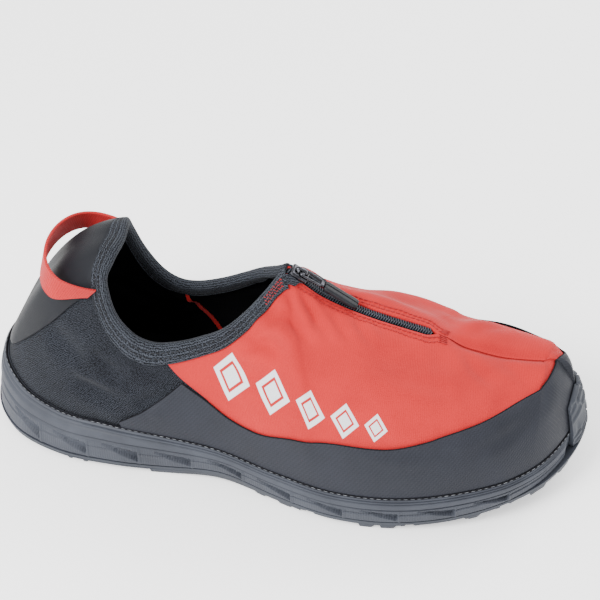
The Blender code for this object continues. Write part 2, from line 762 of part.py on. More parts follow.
def notch_cutters():
    """Slanted wedges that are cut into the side of the sole."""
    found = []
    run = np.cumsum(np.r_[0, np.linalg.norm(np.diff(EDGE[:LAST + 1], axis=0), axis=1)])
    count = int(run[-1] * (1 - 2 * NOTCH_MARGIN) / NOTCH_PITCH)
    notch_ends = columns(NOTCH_ENDS, NOTCH_COLUMNS)
    table = columns(SIDE_WALL, SIDE_COLUMNS)
    for side in (LATERAL, MEDIAL):
        for n in range(count):
            rows = []
            for place, share, tall, deep in zip(*notch_ends.values()):
                k = np.interp(run[-1] * NOTCH_MARGIN + NOTCH_PITCH * (n + place), run, KNOTS)
                knot = k if side == LATERAL else 2 - k
                here = OUTLINE.read(knot)[0]
                tangent = (OUTLINE.read(knot + STEP_OFF) - OUTLINE.read(knot - STEP_OFF))[0, :2]
                tangent /= np.linalg.norm(tangent)
                outward = np.array([tangent[1], -tangent[0]])
                inset_here = np.interp(here[3], ALONG[:LAST + 1], INSET[:LAST + 1])
                flare_here = np.interp(here[3], ALONG[:LAST - 1:-1], FLARE[:LAST - 1:-1])
                flare_here *= side == MEDIAL
                low = float(parting(here[3]))
                section = []
                for up, out in ((share, -1), (share, 1), (share + tall, 1), (share + tall, -1)):
                    height = low + (here[2] - low) * up
                    stand = side_stand(height / here[2], inset_here, flare_here)
                    stand += np.interp(up, table["up"], table["out"]) * SIDE_RELIEF * 0.4
                    stand += NOTCH_DEPTH * (2.0 if out > 0 else -deep)
                    section.append((*(here[:2] + outward * stand), height))
                rows.append(np.array(section))
            found.append(sweep(rows))
    return merged(found)


def make_midsole(material):
    """Cup of the sole: side wall with its steps and grooves, rim, and the floor inside."""
    floor = around(FEATHER + OUTWARD * CLEAR, footbed(ALONG))
    inner_rim = around(FEATHER + OUTWARD * CLEAR, SIDE_TOP)
    wall = columns(SIDE_WALL, SIDE_COLUMNS)
    outer = [side_ring(up, out) for up, out in zip(wall["up"][::-1], wall["out"][::-1])]
    midsole = solid("midsole", *ring_loft([floor, inner_rim, *outer]), material)
    cutters = solid("midsole_notches", *notch_cutters(), None, hidden=True)
    combine(midsole, cutters, "DIFFERENCE")
    return midsole


def make_insole(material):
    inside = FEATHER - OUTWARD * (UPPER_WALL + 3 * CLEAR)
    low = around(inside, footbed(ALONG) + CLEAR)
    high = around(inside, footbed(ALONG) + CLEAR + INSOLE_THICKNESS)
    return solid("insole", *ring_loft([low, high]), material)


# Upper


def make_upper(material):
    """One hollow wall, open underneath, at the collar and along the zip."""
    rows = GRID.shape[1]
    flat = GRID.reshape(-1, 3)
    outer = flat[IDS]
    inner = outer - NORMALS * UPPER_WALL
    total = AROUND * rows
    points = np.concatenate([flat, inner.reshape(-1, 3)])
    faces = list(UPPER_FACES) + [(a + total, c + total, b + total) for a, b, c in UPPER_FACES]
    for row in (0, rows - 1):
        for i in range(AROUND):
            j = (i + 1) % AROUND
            if row and RIB_OF[i] >= ZIP_END and RIB_OF[j] >= ZIP_END:
                continue
            a, b = IDS[i, row], IDS[j, row]
            faces += [(a, b, b + total), (a, b + total, a + total)]
    used = sorted({i for f in faces for i in f})
    number = {old: new for new, old in enumerate(used)}
    faces = [tuple(number[i] for i in f) for f in faces]
    return solid("upper", points[used], faces, material)


def panel(name, ribs, low, high, gap, wall, material):
    """A sheet laid over the upper on neighbouring ribs, from one share of each rib to another.

    Its points keep to the upper's own rows, so that the two faces stay parallel.
    """
    rows = np.arange(RIB_ROWS + 1) / RIB_ROWS
    least = 0.01 / RIB_ROWS
    shares = [[a, *rows[(rows > a + least) & (rows < b - least)], b] for a, b in zip(low, high)]
    starts = np.r_[0, np.cumsum([len(column) for column in shares])]
    total = starts[-1]
    points = [
        on_upper(rib, share, lift)
        for lift in (gap, gap + wall)
        for rib, column in zip(ribs, shares)
        for share in column
    ]
    faces = []
    for k in range(len(ribs) - 1):
        here, there = shares[k], shares[k + 1]
        m = n = 0
        while m < len(here) - 1 or n < len(there) - 1:
            a, b = starts[k] + m, starts[k + 1] + n
            if m == len(here) - 1 or (n < len(there) - 1 and there[n + 1] <= here[m + 1] + least):
                corners = (a, b, b + 1)
                n += 1
            else:
                corners = (a, b, a + 1)
                m += 1
            faces += [corners, tuple(total + c for c in corners[::-1])]
    rim = [*starts[:-1], *range(starts[-2] + 1, total)]
    rim += [*(starts[-2:0:-1] - 1), *range(starts[1] - 2, 0, -1)]
    for a, b in zip(rim, rim[1:] + rim[:1]):
        faces += [(a, b, b + total), (a, b + total, a + total)]
    return solid(name, points, faces, material)


def make_rand(material):
    """Coated mudguard round the front of the upper, from the rim of the sole up."""
    table = columns(RAND_TOP, RAND_COLUMNS)
    ribs = [i for i in range(AROUND) if ALONG[i] >= table["foot"][0]]
    height = spline(table["foot"], table["height"][:, None], ALONG[ribs])[:, 0] * COLLAR_HEIGHT
    low = [share_at_height(i, SIDE_TOP[i] + CLEAR) for i in ribs]
    high = [max(share_at_height(i, z), a + 0.03) for i, z, a in zip(ribs, height, low)]
    return panel("rand", ribs, low, high, RAND_GAP, RAND_WALL, material)


def binding_share(rib):
    """Share of a rib where the collar's binding begins."""
    return 1 - BINDING_WIDTH / rib_length(rib)


def make_counter(material):
    """Smooth panel round the back of the heel, cut off below along a rising edge."""
    reach = int(np.searchsorted(ALONG[:LAST], COUNTER_FOOT))
    ribs = [*range(AROUND - reach, AROUND), *range(reach + 1)]
    low = [share_at_height(i, SIDE_TOP[i] + 2 * CLEAR) for i in ribs]
    high = [binding_share(i) - CLEAR / rib_length(i) for i in ribs]
    counter = panel("heel_counter", ribs, low, high, CLEAR, COUNTER_WALL, material)
    edge = columns(COUNTER_EDGE, COUNTER_COLUMNS)
    x = [-LENGTH, *(LENGTH * (edge["along"] - 0.5)), 0.0]
    z = [edge["height"][0] * COLLAR_HEIGHT, *(edge["height"] * COLLAR_HEIGHT), edge["height"][-1] * COLLAR_HEIGHT]
    outline = [(-LENGTH, -LENGTH), (0.0, -LENGTH), *zip(x[::-1], z[::-1])]
    sections = [np.array([(a, side * BALL_WIDTH, c) for a, c in outline]) for side in (-1, 1)]
    cutter = solid("heel_counter_edge", *sweep(sections), None, hidden=True)
    combine(counter, cutter, "DIFFERENCE")
    return counter


def make_binding(material):
    """Elastic tape folded over the collar's edge, from one side of the zip round the heel to the other."""
    order = [*range(AROUND - ZIP_TOP + 1, AROUND), *range(ZIP_TOP)]
    gap, wall = 1.5 * CLEAR, BINDING_WALL
    last_row = 1 - 1 / RIB_ROWS
    sections = []
    for i in order:
        start = binding_share(i)
        short = 1 - 0.75 * (1 - start)
        bend = last_row if last_row > start + 0.02 else (start + 1) / 2
        top, normal = GRID[i, -1], NORMALS[i, -1]
        rise = top - on_upper(i, last_row, 0.0)
        rise /= np.linalg.norm(rise)
        sink = -UPPER_WALL - 1.5 * gap
        sections.append(np.array([
            on_upper(i, start, gap),
            on_upper(i, bend, gap),
            top + normal * gap + rise * gap,
            top + normal * sink + rise * gap,
            on_upper(i, short, sink),
            on_upper(i, short, sink - wall),
            top + normal * (sink - wall * 0.8) + rise * gap,
            top + normal * (sink / 2) + rise * (gap + wall * 1.2),
            top + normal * (gap + wall * 0.8) + rise * gap,
            on_upper(i, bend, gap + wall),
            on_upper(i, start, gap + wall),
        ]))
    return solid("collar_binding", *sweep(sections), material)


def make_pull_loop(material):
    """Webbing loop that stands off the back of the heel, its ends sewn to the counter."""
    rib = int(np.argmin(np.abs(ALONG[:LAST] - LOOP_FOOT)))
    lift = 2 * CLEAR + COUNTER_WALL + LOOP_WALL / 2
    ends = [on_upper(i, binding_share(i) - LOOP_WIDTH / 2 / rib_length(i), lift) for i in (rib, AROUND - rib)]
    middle, half = (ends[0] + ends[1]) / 2, (ends[1] - ends[0]) / 2
    half[0] = half[2] = 0
    back = np.array([-math.cos(LOOP_PITCH), 0.0, math.sin(LOOP_PITCH)])
    wide = np.array([math.sin(LOOP_PITCH), 0.0, math.cos(LOOP_PITCH)])
    sewn = [on_upper(i, 0.9, 0.0) - on_upper(i, 0.7, 0.0) for i in (rib, AROUND - rib)]
    sections = []
    for angle in np.linspace(0, math.pi, 17):
        free = math.sin(angle)
        bulge = 1 + LOOP_BULGE * free
        centre = middle - half * math.cos(angle) * bulge + back * LOOP_REACH * free
        at_end = sewn[0] if angle < math.pi / 2 else sewn[1]
        across = at_end / np.linalg.norm(at_end) * (1 - free) + wide * free
        across /= np.linalg.norm(across)
        path = half * math.sin(angle) + back * LOOP_REACH * math.cos(angle)
        out = np.cross(path, across)
        out *= LOOP_WALL / 2 / np.linalg.norm(out)
        across *= LOOP_WIDTH / 2
        sections.append(np.array([centre - across - out, centre + across - out,
                                  centre + across + out, centre - across + out]))
    return solid("pull_loop", *sweep(sections), material)


# Zip


def zip_line():
    """Centre line of the zip on the upper's face, from the collar to its lower end, and its normals."""
    lateral = np.arange(ZIP_TOP, ZIP_END + 1)
    medial = AROUND - lateral
    points = (GRID[lateral, -1] + GRID[medial, -1]) / 2
    normals = NORMALS[lateral, -1] + NORMALS[medial, -1]
    normals[:, 1] = 0
    return points, normals / np.linalg.norm(normals, axis=1)[:, None]


ZIP_POINTS, ZIP_NORMALS = zip_line()
ZIP_RUN = np.r_[0, np.cumsum(np.linalg.norm(np.diff(ZIP_POINTS, axis=0), axis=1))]


def on_zip(distance, lift):
    """A point over the zip's centre line at a distance from its top end."""
    point = np.array([np.interp(distance, ZIP_RUN, ZIP_POINTS[:, k]) for k in range(3)])
    normal = np.array([np.interp(distance, ZIP_RUN, ZIP_NORMALS[:, k]) for k in range(3)])
    return point + normal / np.linalg.norm(normal) * lift


def zip_stations(start, stop):
    inside = [d for d in ZIP_RUN if start < d < stop]
    return [start, *inside, stop]


def zip_strip(start, stop, halves):
    """Sections of a strip along the zip from half widths and lifts, listed round its outline."""
    sections = []
    for distance in zip_stations(start, stop):
        middle = on_zip(distance, 0.0)
        up = on_zip(distance, 1.0) - middle
        side = np.array([0.0, 1.0, 0.0])
        sections.append(np.array([middle + side * half + up * lift for half, lift in halves]))
    return sections


def make_tape(material):
    """Zip tape behind the slot, following the inside of the upper on both sides."""
    sections = []
    for k in range(ZIP_TOP, ZIP_END):
        left, right = k, AROUND - k
        width = TAPE_HALF - SLOT_HALF
        line = [(left, 1 - width / rib_length(left)), (left, 1), (right, 1), (right, 1 - width / rib_length(right))]
        deep = -UPPER_WALL - 2.5 * CLEAR
        under = [on_upper(rib, share, deep - TAPE_WALL) for rib, share in line]
        over = [on_upper(rib, share, deep) for rib, share in line]
        sections.append(np.array(over + under[::-1]))
    return solid("zip_tape", *sweep(sections), material)


def make_coil(material):
    """Closed row of zip teeth that fills the slot."""
    half = SLOT_HALF - 1.5 * CLEAR
    low = -UPPER_WALL + 2 * CLEAR
    outline = [(-half * 0.6, low), (half * 0.6, low), (half, COIL_PROUD * 0.4), (half * 0.6, COIL_PROUD),
               (-half * 0.6, COIL_PROUD), (-half, COIL_PROUD * 0.4)]
    stop = ZIP_RUN[-2] - CLEAR
    return solid("zip_coil", *sweep(zip_strip(SLOT_HALF / 2, stop, outline)), material)


def slider_frame():
    """Hinge point, direction along the slider, its normal, and the puller's resting direction."""
    along = on_zip(SLIDER_SETBACK + SLIDER_LENGTH / 2, 0.0) - on_zip(SLIDER_SETBACK - SLIDER_LENGTH / 2, 0.0)
    along[1] = 0
    along /= np.linalg.norm(along)
    up = np.cross(along, (0.0, 1.0, 0.0))
    base = on_zip(SLIDER_SETBACK, COIL_PROUD + 2 * CLEAR)
    hinge = base + up * (SLIDER_PLATE + PIN_DIAMETER / 2 + 1.5 * CLEAR)
    reach = LINK_LENGTH + GRIP_LENGTH
    target = on_zip(SLIDER_SETBACK + reach, COIL_PROUD + GRIP_THICKNESS / 2 + 2 * CLEAR)
    lie = target - hinge
    lie[1] = 0
    return base, hinge, along, up, lie / np.linalg.norm(lie)


BASE, HINGE, ALONG_SLIDER, UP_SLIDER, LIE = slider_frame()
ACROSS = np.array([0.0, 1.0, 0.0])


def block(centre, axes, sizes, taper=1.0):
    """A box on three directions, its upper face narrowed by taper."""
    a, b, c = (np.asarray(axis) * size / 2 for axis, size in zip(axes, sizes))
    low = [centre - a - b - c, centre + a - b - c, centre + a + b - c, centre - a + b - c]
    high = [centre + (-a - b) * taper + c, centre + (a - b) * taper + c,
            centre + (a + b) * taper + c, centre + (-a + b) * taper + c]
    return low + high, [(0, 1, 2, 3), (4, 5, 6, 7), (0, 1, 5, 4), (1, 2, 6, 5), (2, 3, 7, 6), (3, 0, 4, 7)]


def make_slider(material):
    """Zip slider: a plate over the teeth with a bridge that holds the puller's pin."""
    axes = (ALONG_SLIDER, ACROSS, UP_SLIDER)
    plate = block(BASE + UP_SLIDER * SLIDER_PLATE / 2, axes,
                  (SLIDER_LENGTH, SLIDER_WIDTH, SLIDER_PLATE), taper=0.86)
    slider = solid("zip_slider", *plate, material)
    opening = PIN_DIAMETER + 3 * CLEAR
    post = PIN_DIAMETER
    span = SLIDER_LENGTH * 0.62
    outline = [(-span / 2, -post), (-span / 2, opening), (-span / 2 + post, opening + post * 0.8),
               (span / 2 - post, opening + post * 0.8), (span / 2, opening), (span / 2, -post),
               (span / 2 - post * 0.8, -post), (span / 2 - post * 0.8, opening),
               (-span / 2 + post * 0.8, opening), (-span / 2 + post * 0.8, -post)]
    plate_top = BASE + UP_SLIDER * SLIDER_PLATE
    sections = []
    for side in (-1, 1):
        shift = ACROSS * side * BRIDGE_WIDTH / 2
        sections.append(np.array([plate_top + ALONG_SLIDER * a + UP_SLIDER * b + shift for a, b in outline]))
    bridge = solid("zip_slider_bridge", *sweep(sections), None, hidden=True)
    combine(slider, bridge, "UNION")
    return slider


def make_link(material):
    """Metal loop of the puller: pin under the bridge, two arms and the end that the grip holds."""
    up = np.cross(LIE, ACROSS)
    half, hole = LINK_WIDTH / 2, LINK_HOLE / 2
    thick = PIN_DIAMETER
    back, front = -thick / 2, LINK_LENGTH - thick
    rim = [(back, -half), (front, -half * 0.85), (front + thick, -half * 0.5), (front + thick, half * 0.5),
           (front, half * 0.85), (back, half)]
    window = [(thick / 2, -hole), (front - thick, -hole * 0.9), (front - thick * 0.4, -hole * 0.4),
              (front - thick * 0.4, hole * 0.4), (front - thick, hole * 0.9), (thick / 2, hole)]
    points, faces = [], []
    for lift in (-thick / 2, thick / 2):
        for outline in (rim, window):
            points += [HINGE + LIE * a + ACROSS * b + up * lift for a, b in outline]
    size = len(rim)
    for level in (0, 2 * size):
        for p in range(size):
            q = (p + 1) % size
            faces.append((level + p, level + q, level + size + q, level + size + p))
    for start in (0, size):
        for p in range(size):
            q = (p + 1) % size
            faces.append((start + p, start + q, start + q + 2 * size, start + p + 2 * size))
    return solid("puller_link", points, faces, material)


def make_grip(material):
    """Soft grip moulded on the end of the link."""
    up = np.cross(LIE, ACROSS)
    sections = []
    for share, wide, thick in zip(*columns(GRIP_PROFILE, GRIP_COLUMNS).values()):
        centre = HINGE + LIE * (LINK_LENGTH + CLEAR + (GRIP_LENGTH - 2 * CLEAR) * share)
        across, deep = ACROSS * GRIP_WIDTH / 2 * wide, up * GRIP_THICKNESS / 2 * thick
        sections.append(np.array([
            centre + across * a + deep * b
            for a, b in ((-1, -0.4), (-0.6, -1), (0.6, -1), (1, -0.4), (1, 0.4), (0.6, 1), (-0.6, 1), (-1, 0.4))
        ]))
    return solid("puller_grip", *sweep(sections), material)


def hang_on(parent, pieces):
    """Parents the pieces to an empty on the hinge's axis, where they lie."""
    for piece in pieces:
        piece.parent = parent
        piece.matrix_parent_inverse = parent.matrix_world.inverted()


def main():
    for old in list(bpy.data.objects):
        bpy.data.objects.remove(old, do_unlink=True)
    rubber = finish("sole_rubber", (0.045, 0.048, 0.055), 0.62)
    foam = finish("midsole_foam", (0.055, 0.058, 0.066), 0.70)
    softshell = finish("softshell_red", (0.62, 0.055, 0.045), 0.85)
    coated = finish("rand_coated", (0.030, 0.032, 0.037), 0.50)
    smooth_black = finish("counter_coated", (0.028, 0.030, 0.034), 0.45)
    elastic = finish("binding_elastic", (0.018, 0.019, 0.022), 0.80)
    felt = finish("insole_felt", (0.012, 0.012, 0.014), 0.90)
    webbing = finish("loop_webbing", (0.68, 0.05, 0.045), 0.75)
    teeth = finish("zip_nylon", (0.010, 0.010, 0.012), 0.40)
    tape = finish("tape_textile", (0.015, 0.015, 0.018), 0.85)
    metal = finish("puller_metal", (0.10, 0.10, 0.11), 0.35, 0.9)
    grip = finish("grip_rubber", (0.030, 0.030, 0.034), 0.55)

    make_tread(rubber)
    make_midsole(foam)
    make_insole(felt)
    make_upper(softshell)
    make_rand(coated)
    make_counter(smooth_black)
    make_binding(elastic)
    make_pull_loop(webbing)
    make_tape(tape)
    make_coil(teeth)
    make_slider(metal)

    hinge = bpy.data.objects.new("puller_hinge", None)
    hinge.location = HINGE
    bpy.context.scene.collection.objects.link(hinge)
    bpy.context.view_layer.update()
    hang_on(hinge, [make_link(metal), make_grip(grip)])


main()
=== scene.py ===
"""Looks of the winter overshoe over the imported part, in metres and in the part's own frame."""

import math

import bmesh
import bpy
import numpy as np
from mathutils import Matrix, Vector


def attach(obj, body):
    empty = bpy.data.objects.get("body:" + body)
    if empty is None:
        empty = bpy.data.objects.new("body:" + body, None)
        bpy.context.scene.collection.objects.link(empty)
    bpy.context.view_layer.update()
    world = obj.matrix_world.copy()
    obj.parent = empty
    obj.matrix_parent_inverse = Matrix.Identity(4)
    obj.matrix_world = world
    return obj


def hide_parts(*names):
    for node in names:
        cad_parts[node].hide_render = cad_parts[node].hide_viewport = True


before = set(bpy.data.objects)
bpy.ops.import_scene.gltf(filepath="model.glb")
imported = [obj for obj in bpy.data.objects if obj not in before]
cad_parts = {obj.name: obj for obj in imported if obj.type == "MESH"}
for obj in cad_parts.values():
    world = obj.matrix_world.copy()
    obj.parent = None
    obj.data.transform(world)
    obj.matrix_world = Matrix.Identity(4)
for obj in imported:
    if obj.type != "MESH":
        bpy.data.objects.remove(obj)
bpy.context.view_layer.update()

# Overall sizes, as in the part. The heights in the tables are shares of COLLAR_HEIGHT.
LENGTH = 0.318
BALL_WIDTH = 0.117
HEEL_WIDTH = 0.0885
COLLAR_HEIGHT = 0.133
COLLAR_WIDTH = 0.057

# Sole
HEEL_SOLE_HEIGHT = 0.031
BALL_SOLE_HEIGHT = 0.0222
HEEL_FOOTBED = 0.0215
BALL_FOOTBED = 0.0125
TREAD_PLATE = 0.0028
LUG_DEPTH = 0.0032
TOE_SPRING = 0.0152
HEEL_BEVEL = 0.0048
ARCH_LIFT = 0.0029
HEEL_INSET = 0.009
SIDE_INSET = 0.0024
TOE_INSET = 0.0066
WAIST_FLARE = 0.0105
RIM_WIDTH = 0.0019
SIDE_RELIEF = 0.0013
NOTCH_PITCH = 0.0285
NOTCH_DEPTH = 0.0026
LUG_LENGTH = 0.0092
LUG_WIDTH = 0.0110
LUG_PITCH = 0.0143
BUMPER_THICKNESS = 0.0034
BUMPER_HALF_WIDTH = 0.021
BUMPER_HEIGHT = 0.0505
BUMPER_BLOCK = 0.0011
BUMPER_BLOCKS = 5.5
STRIPE_HALF = 0.0019
PAD_HALF = 0.0040
RAIL_HALF = 0.0034
CHANNEL_HALF = 0.0022
GROOVE_HALF = 0.0008
GROOVE_DEPTH = 0.0026

# Upper and what is sewn on it
UPPER_WALL = 0.0025
CLOTH_WALL = 0.0012
LINING_FACE = 0.0015
PIPING_RADIUS = 0.00036
FOOT_SEAM_RADIUS = 0.0006
INNER_TAPE_WALL = 0.0005
RAND_WALL = 0.0009
RAND_GAP = 0.0006
COUNTER_WALL = 0.0012
BINDING_WIDTH = 0.0085
BINDING_WALL = 0.0011
LOOP_WIDTH = 0.0135
LOOP_WALL = 0.0016
LOOP_REACH = 0.0275
LOOP_PITCH = math.radians(13)
LOOP_BULGE = 0.30
LOOP_FOOT = 0.085
LOOP_TUCK = 0.090

# Zip
SLOT_HALF = 0.003
COIL_PROUD = 0.0007
SLIDER_LENGTH = 0.0098
SLIDER_WIDTH = 0.0082
SLIDER_PLATE = 0.0016
SLIDER_SETBACK = 0.0065
PIN_DIAMETER = 0.0014
LINK_LENGTH = 0.0135
LINK_WIDTH = 0.0066
LINK_CORNER = 0.0012
LINK_EYE = (0.0024, 0.0034, 0.0017)
GRIP_LENGTH = 0.02
GRIP_WIDTH = 0.0062
GRIP_THICKNESS = 0.0028

# Gap left between two pieces that meet
CLEAR = 0.0003

# The puller's hinge and the ways that it and the slider lie, as packed
HINGE = np.array([0.012037, 0.000880, 0.115599])
LIE = np.array([0.842766, 0.0, -0.538280])
ALONG_SLIDER = np.array([0.846587, 0.0, -0.532250])
ACROSS = np.array([0.0, 1.0, 0.0])

# Outline of the grip across it, with the groove in its upper face
GRIP_OUTLINE = (
    (-1, -0.5), (-0.9, -0.85), (-0.7, -1), (0, -1), (0.7, -1), (0.9, -0.85), (1, -0.5), (1, 0.5),
    (0.9, 0.85), (0.7, 1), (0.2, 1), (0.14, 0.72), (-0.14, 0.72), (-0.2, 1), (-0.7, 1), (-0.9, 0.85),
    (-1, 0.5),
)

# Stitches and teeth: pitch along their row, then length, width and height
STITCH_PITCH = 0.0026
STITCH = (0.0021, 0.00062, 0.00062)
ZIP_STITCH = (0.0021, 0.00075, 0.00085)
END_STITCH_PITCH = 0.004
END_STITCH = (0.0042, 0.0008, 0.0009)
TACK_PITCH = 0.0015
TACK = (0.0015, 0.0005, 0.0006)
FOOT_STITCH_PITCH = 0.0034
FOOT_STITCH = (0.0022, 0.00030, 0.00030)
TOOTH_PITCH = 0.0013
TOOTH = (0.0031, 0.00088, 0.0013)
TOOTH_OFFSET = 0.00105
TOOTH_LEAN = 0.30
FIRST_TOOTH = 0.0012
ZIP_END_MARGIN = 0.003
ZIP_ROWS = (0.0020, 0.0046)
THREAD_LIFT = 0.0002
TACK_LEAN = 0.9

# Swells of the cloth below the zip's and the toe seam's edge: middle, reach and height
PUCKER = (0.0065, 0.0045, 0.00022)
ZIP_GROOVE = (0.0034, 0.0016, 0.00035)
TOE_TUCK = (0.0, 0.0030, 0.0024)
TOE_ROLL = (0.0075, 0.0062, 0.0010)
TOE_POUCH = (0.0150, 0.0125, 0.0040)
ZIP_SWELL = (0.011, 0.009)
ZIP_SWELL_LATERAL, ZIP_SWELL_MEDIAL = 0.0006, 0.0030

# Camera: direction to it, roll, aim and distance, and its lens in pixels of a 600 pixel frame
CAMERA_AZIMUTH = math.radians(13.069)
CAMERA_ELEVATION = math.radians(41.0)
CAMERA_ROLL = math.radians(-1.401)
CAMERA_AIM = (-0.00896, 0.072032)
CAMERA_DISTANCE = 1.0
CAMERA_LENS = 1862.391
FRAME_PIXELS = 600
SENSOR = 36.0

# Outline of the sole seen from above, as in the part
PLAN_COLUMNS = ("along", "lateral", "medial", "side_height")
PLAN = (
    (0.000, 0.102, 0.102, 1.32),
    (0.020, -0.179, 0.366, 1.26),
    (0.060, -0.325, 0.488, 1.11),
    (0.140, -0.450, 0.545, 1.00),
    (0.240, -0.484, 0.494, 0.985),
    (0.340, -0.463, 0.403, 0.90),
    (0.420, -0.430, 0.333, 0.88),
    (0.520, -0.453, 0.356, 0.945),
    (0.620, -0.497, 0.435, 1.00),
    (0.720, -0.489, 0.491, 1.02),
    (0.820, -0.421, 0.499, 1.13),
    (0.900, -0.312, 0.479, 1.22),
    (0.955, -0.179, 0.397, 1.26),
    (0.985, -0.030, 0.307, 1.30),
    (1.000, 0.166, 0.166, 1.32),
)
# Ribs of the upper, as in the part
RIB_COLUMNS = ("foot", "top", "half", "swing", "rise", "lean", "swell", "crown", "drop")
RIBS = (
    (0.000, 0.2450, 0.00, 0.004, 0.925, 0.18, 0.31, 0.42, 0.00),
    (0.022, 0.2410, 0.46, 0.004, 0.920, 0.10, 0.36, 0.44, 0.07),
    (0.060, 0.2350, 0.76, 0.008, 0.876, 0.08, 0.36, 0.42, 0.12),
    (0.105, 0.2370, 0.90, 0.017, 0.800, 0.01, 0.35, 0.42, 0.19),
    (0.155, 0.2500, 0.98, 0.016, 0.700, -0.07, 0.34, 0.41, 0.27),
    (0.210, 0.2750, 0.98, 0.015, 0.610, -0.15, 0.34, 0.44, 0.33),
    (0.270, 0.3050, 0.94, 0.015, 0.566, -0.20, 0.37, 0.49, 0.38),
    (0.340, 0.3450, 0.88, 0.014, 0.572, -0.18, 0.41, 0.50, 0.35),
    (0.400, 0.3870, 0.84, 0.012, 0.612, -0.12, 0.47, 0.51, 0.30),
    (0.460, 0.4280, 0.79, 0.010, 0.668, -0.07, 0.53, 0.52, 0.26),
    (0.505, 0.4600, 0.62, 0.008, 0.735, -0.05, 0.56, 0.53, 0.22),
    (0.545, 0.4860, 0.36, 0.006, 0.798, -0.03, 0.58, 0.53, 0.19),
    (0.580, 0.5060, 0.14, 0.006, 0.853, -0.03, 0.59, 0.50, 0.21),
    (0.600, 0.5140, 0.10, 0.006, 0.868, -0.01, 0.56, 0.46, 0.26),
    (0.660, 0.5750, 0.10, 0.012, 0.768, -0.02, 0.61, 0.49, 0.18),
    (0.720, 0.6450, 0.10, 0.020, 0.696, -0.01, 0.64, 0.55, 0.10),
    (0.790, 0.7530, 0.10, 0.033, 0.622, 0.02, 0.60, 0.56, 0.09),
    (0.850, 0.8080, 0.10, 0.054, 0.563, 0.03, 0.62, 0.60, 0.05),
    (0.895, 0.8650, 0.10, 0.076, 0.524, 0.04, 0.60, 0.56, 0.03),
    (0.930, 0.9250, 0.10, 0.094, 0.520, 0.10, 0.54, 0.49, 0.08),
    (1.000, 0.9250, 0.10, 0.094, 0.520, 0.13, 0.49, 0.41, 0.09),
)
ZIP_TOP_FOOT = 0.600
ZIP_MIDDLE_FOOT = 0.725
ZIP_CLOSING_FOOT = 0.778
ZIP_END_FOOT = 0.790
TIP_FOOT = 0.930
FLARE_TOP = 0.62

# Side of the sole from the tread plate to the rim, with its lines and beads
SIDE_COLUMNS = ("up", "out")
SIDE_WALL = (
    (0.00, -0.5), (0.03, 0.0), (0.15, 0.2), (0.29, 0.4), (0.315, 0.2), (0.34, -0.5), (0.365, 0.2),
    (0.40, 0.45), (0.52, 0.5), (0.545, 0.1), (0.57, -0.9), (0.595, 0.3), (0.63, 1.0), (0.74, 1.05),
    (0.80, 0.95), (0.83, 0.2), (0.845, 0.15), (0.87, 0.85), (0.885, 0.9), (0.905, 0.75), (0.92, 0.0),
    (0.935, 0.0), (0.955, 0.6), (0.975, 0.65), (1.00, 0.2),
)
# Top edge of the rand: place along the sole, share of COLLAR_HEIGHT
RAND_COLUMNS = ("foot", "height")
RAND_TOP = (
    (0.262, 0.262), (0.300, 0.322), (0.364, 0.452), (0.405, 0.409), (0.444, 0.358), (0.484, 0.338),
    (0.561, 0.369), (0.629, 0.392), (0.720, 0.392), (0.790, 0.418), (0.850, 0.440), (0.905, 0.458),
    (0.947, 0.478), (1.000, 0.500),
)
RAND_REAR_ROWS = 5

# Front edge of the heel counter: place along the sole, share of COLLAR_HEIGHT
COUNTER_COLUMNS = ("along", "height")
COUNTER_EDGE = ((0.020, 0.310), (0.052, 0.375), (0.159, 0.655), (0.225, 0.840))
COUNTER_FOOT = 0.125

# Line where the red cloth meets the heel's soft quarter: foot share, share up the rib
JOIN_COLUMNS = ("foot", "share")
JOIN = ((0.470, 0.00), (0.430, 0.30), (0.408, 0.44), (0.371, 0.62), (0.318, 0.89), (0.300, 1.00))

# The seam inside: foot share at the bottom and at the top of a rib, and how far its tape
# reaches to each side, in places round the shoe
INNER_SEAM = (0.372, 0.292)
INNER_TAPE_REACH = 0.0036

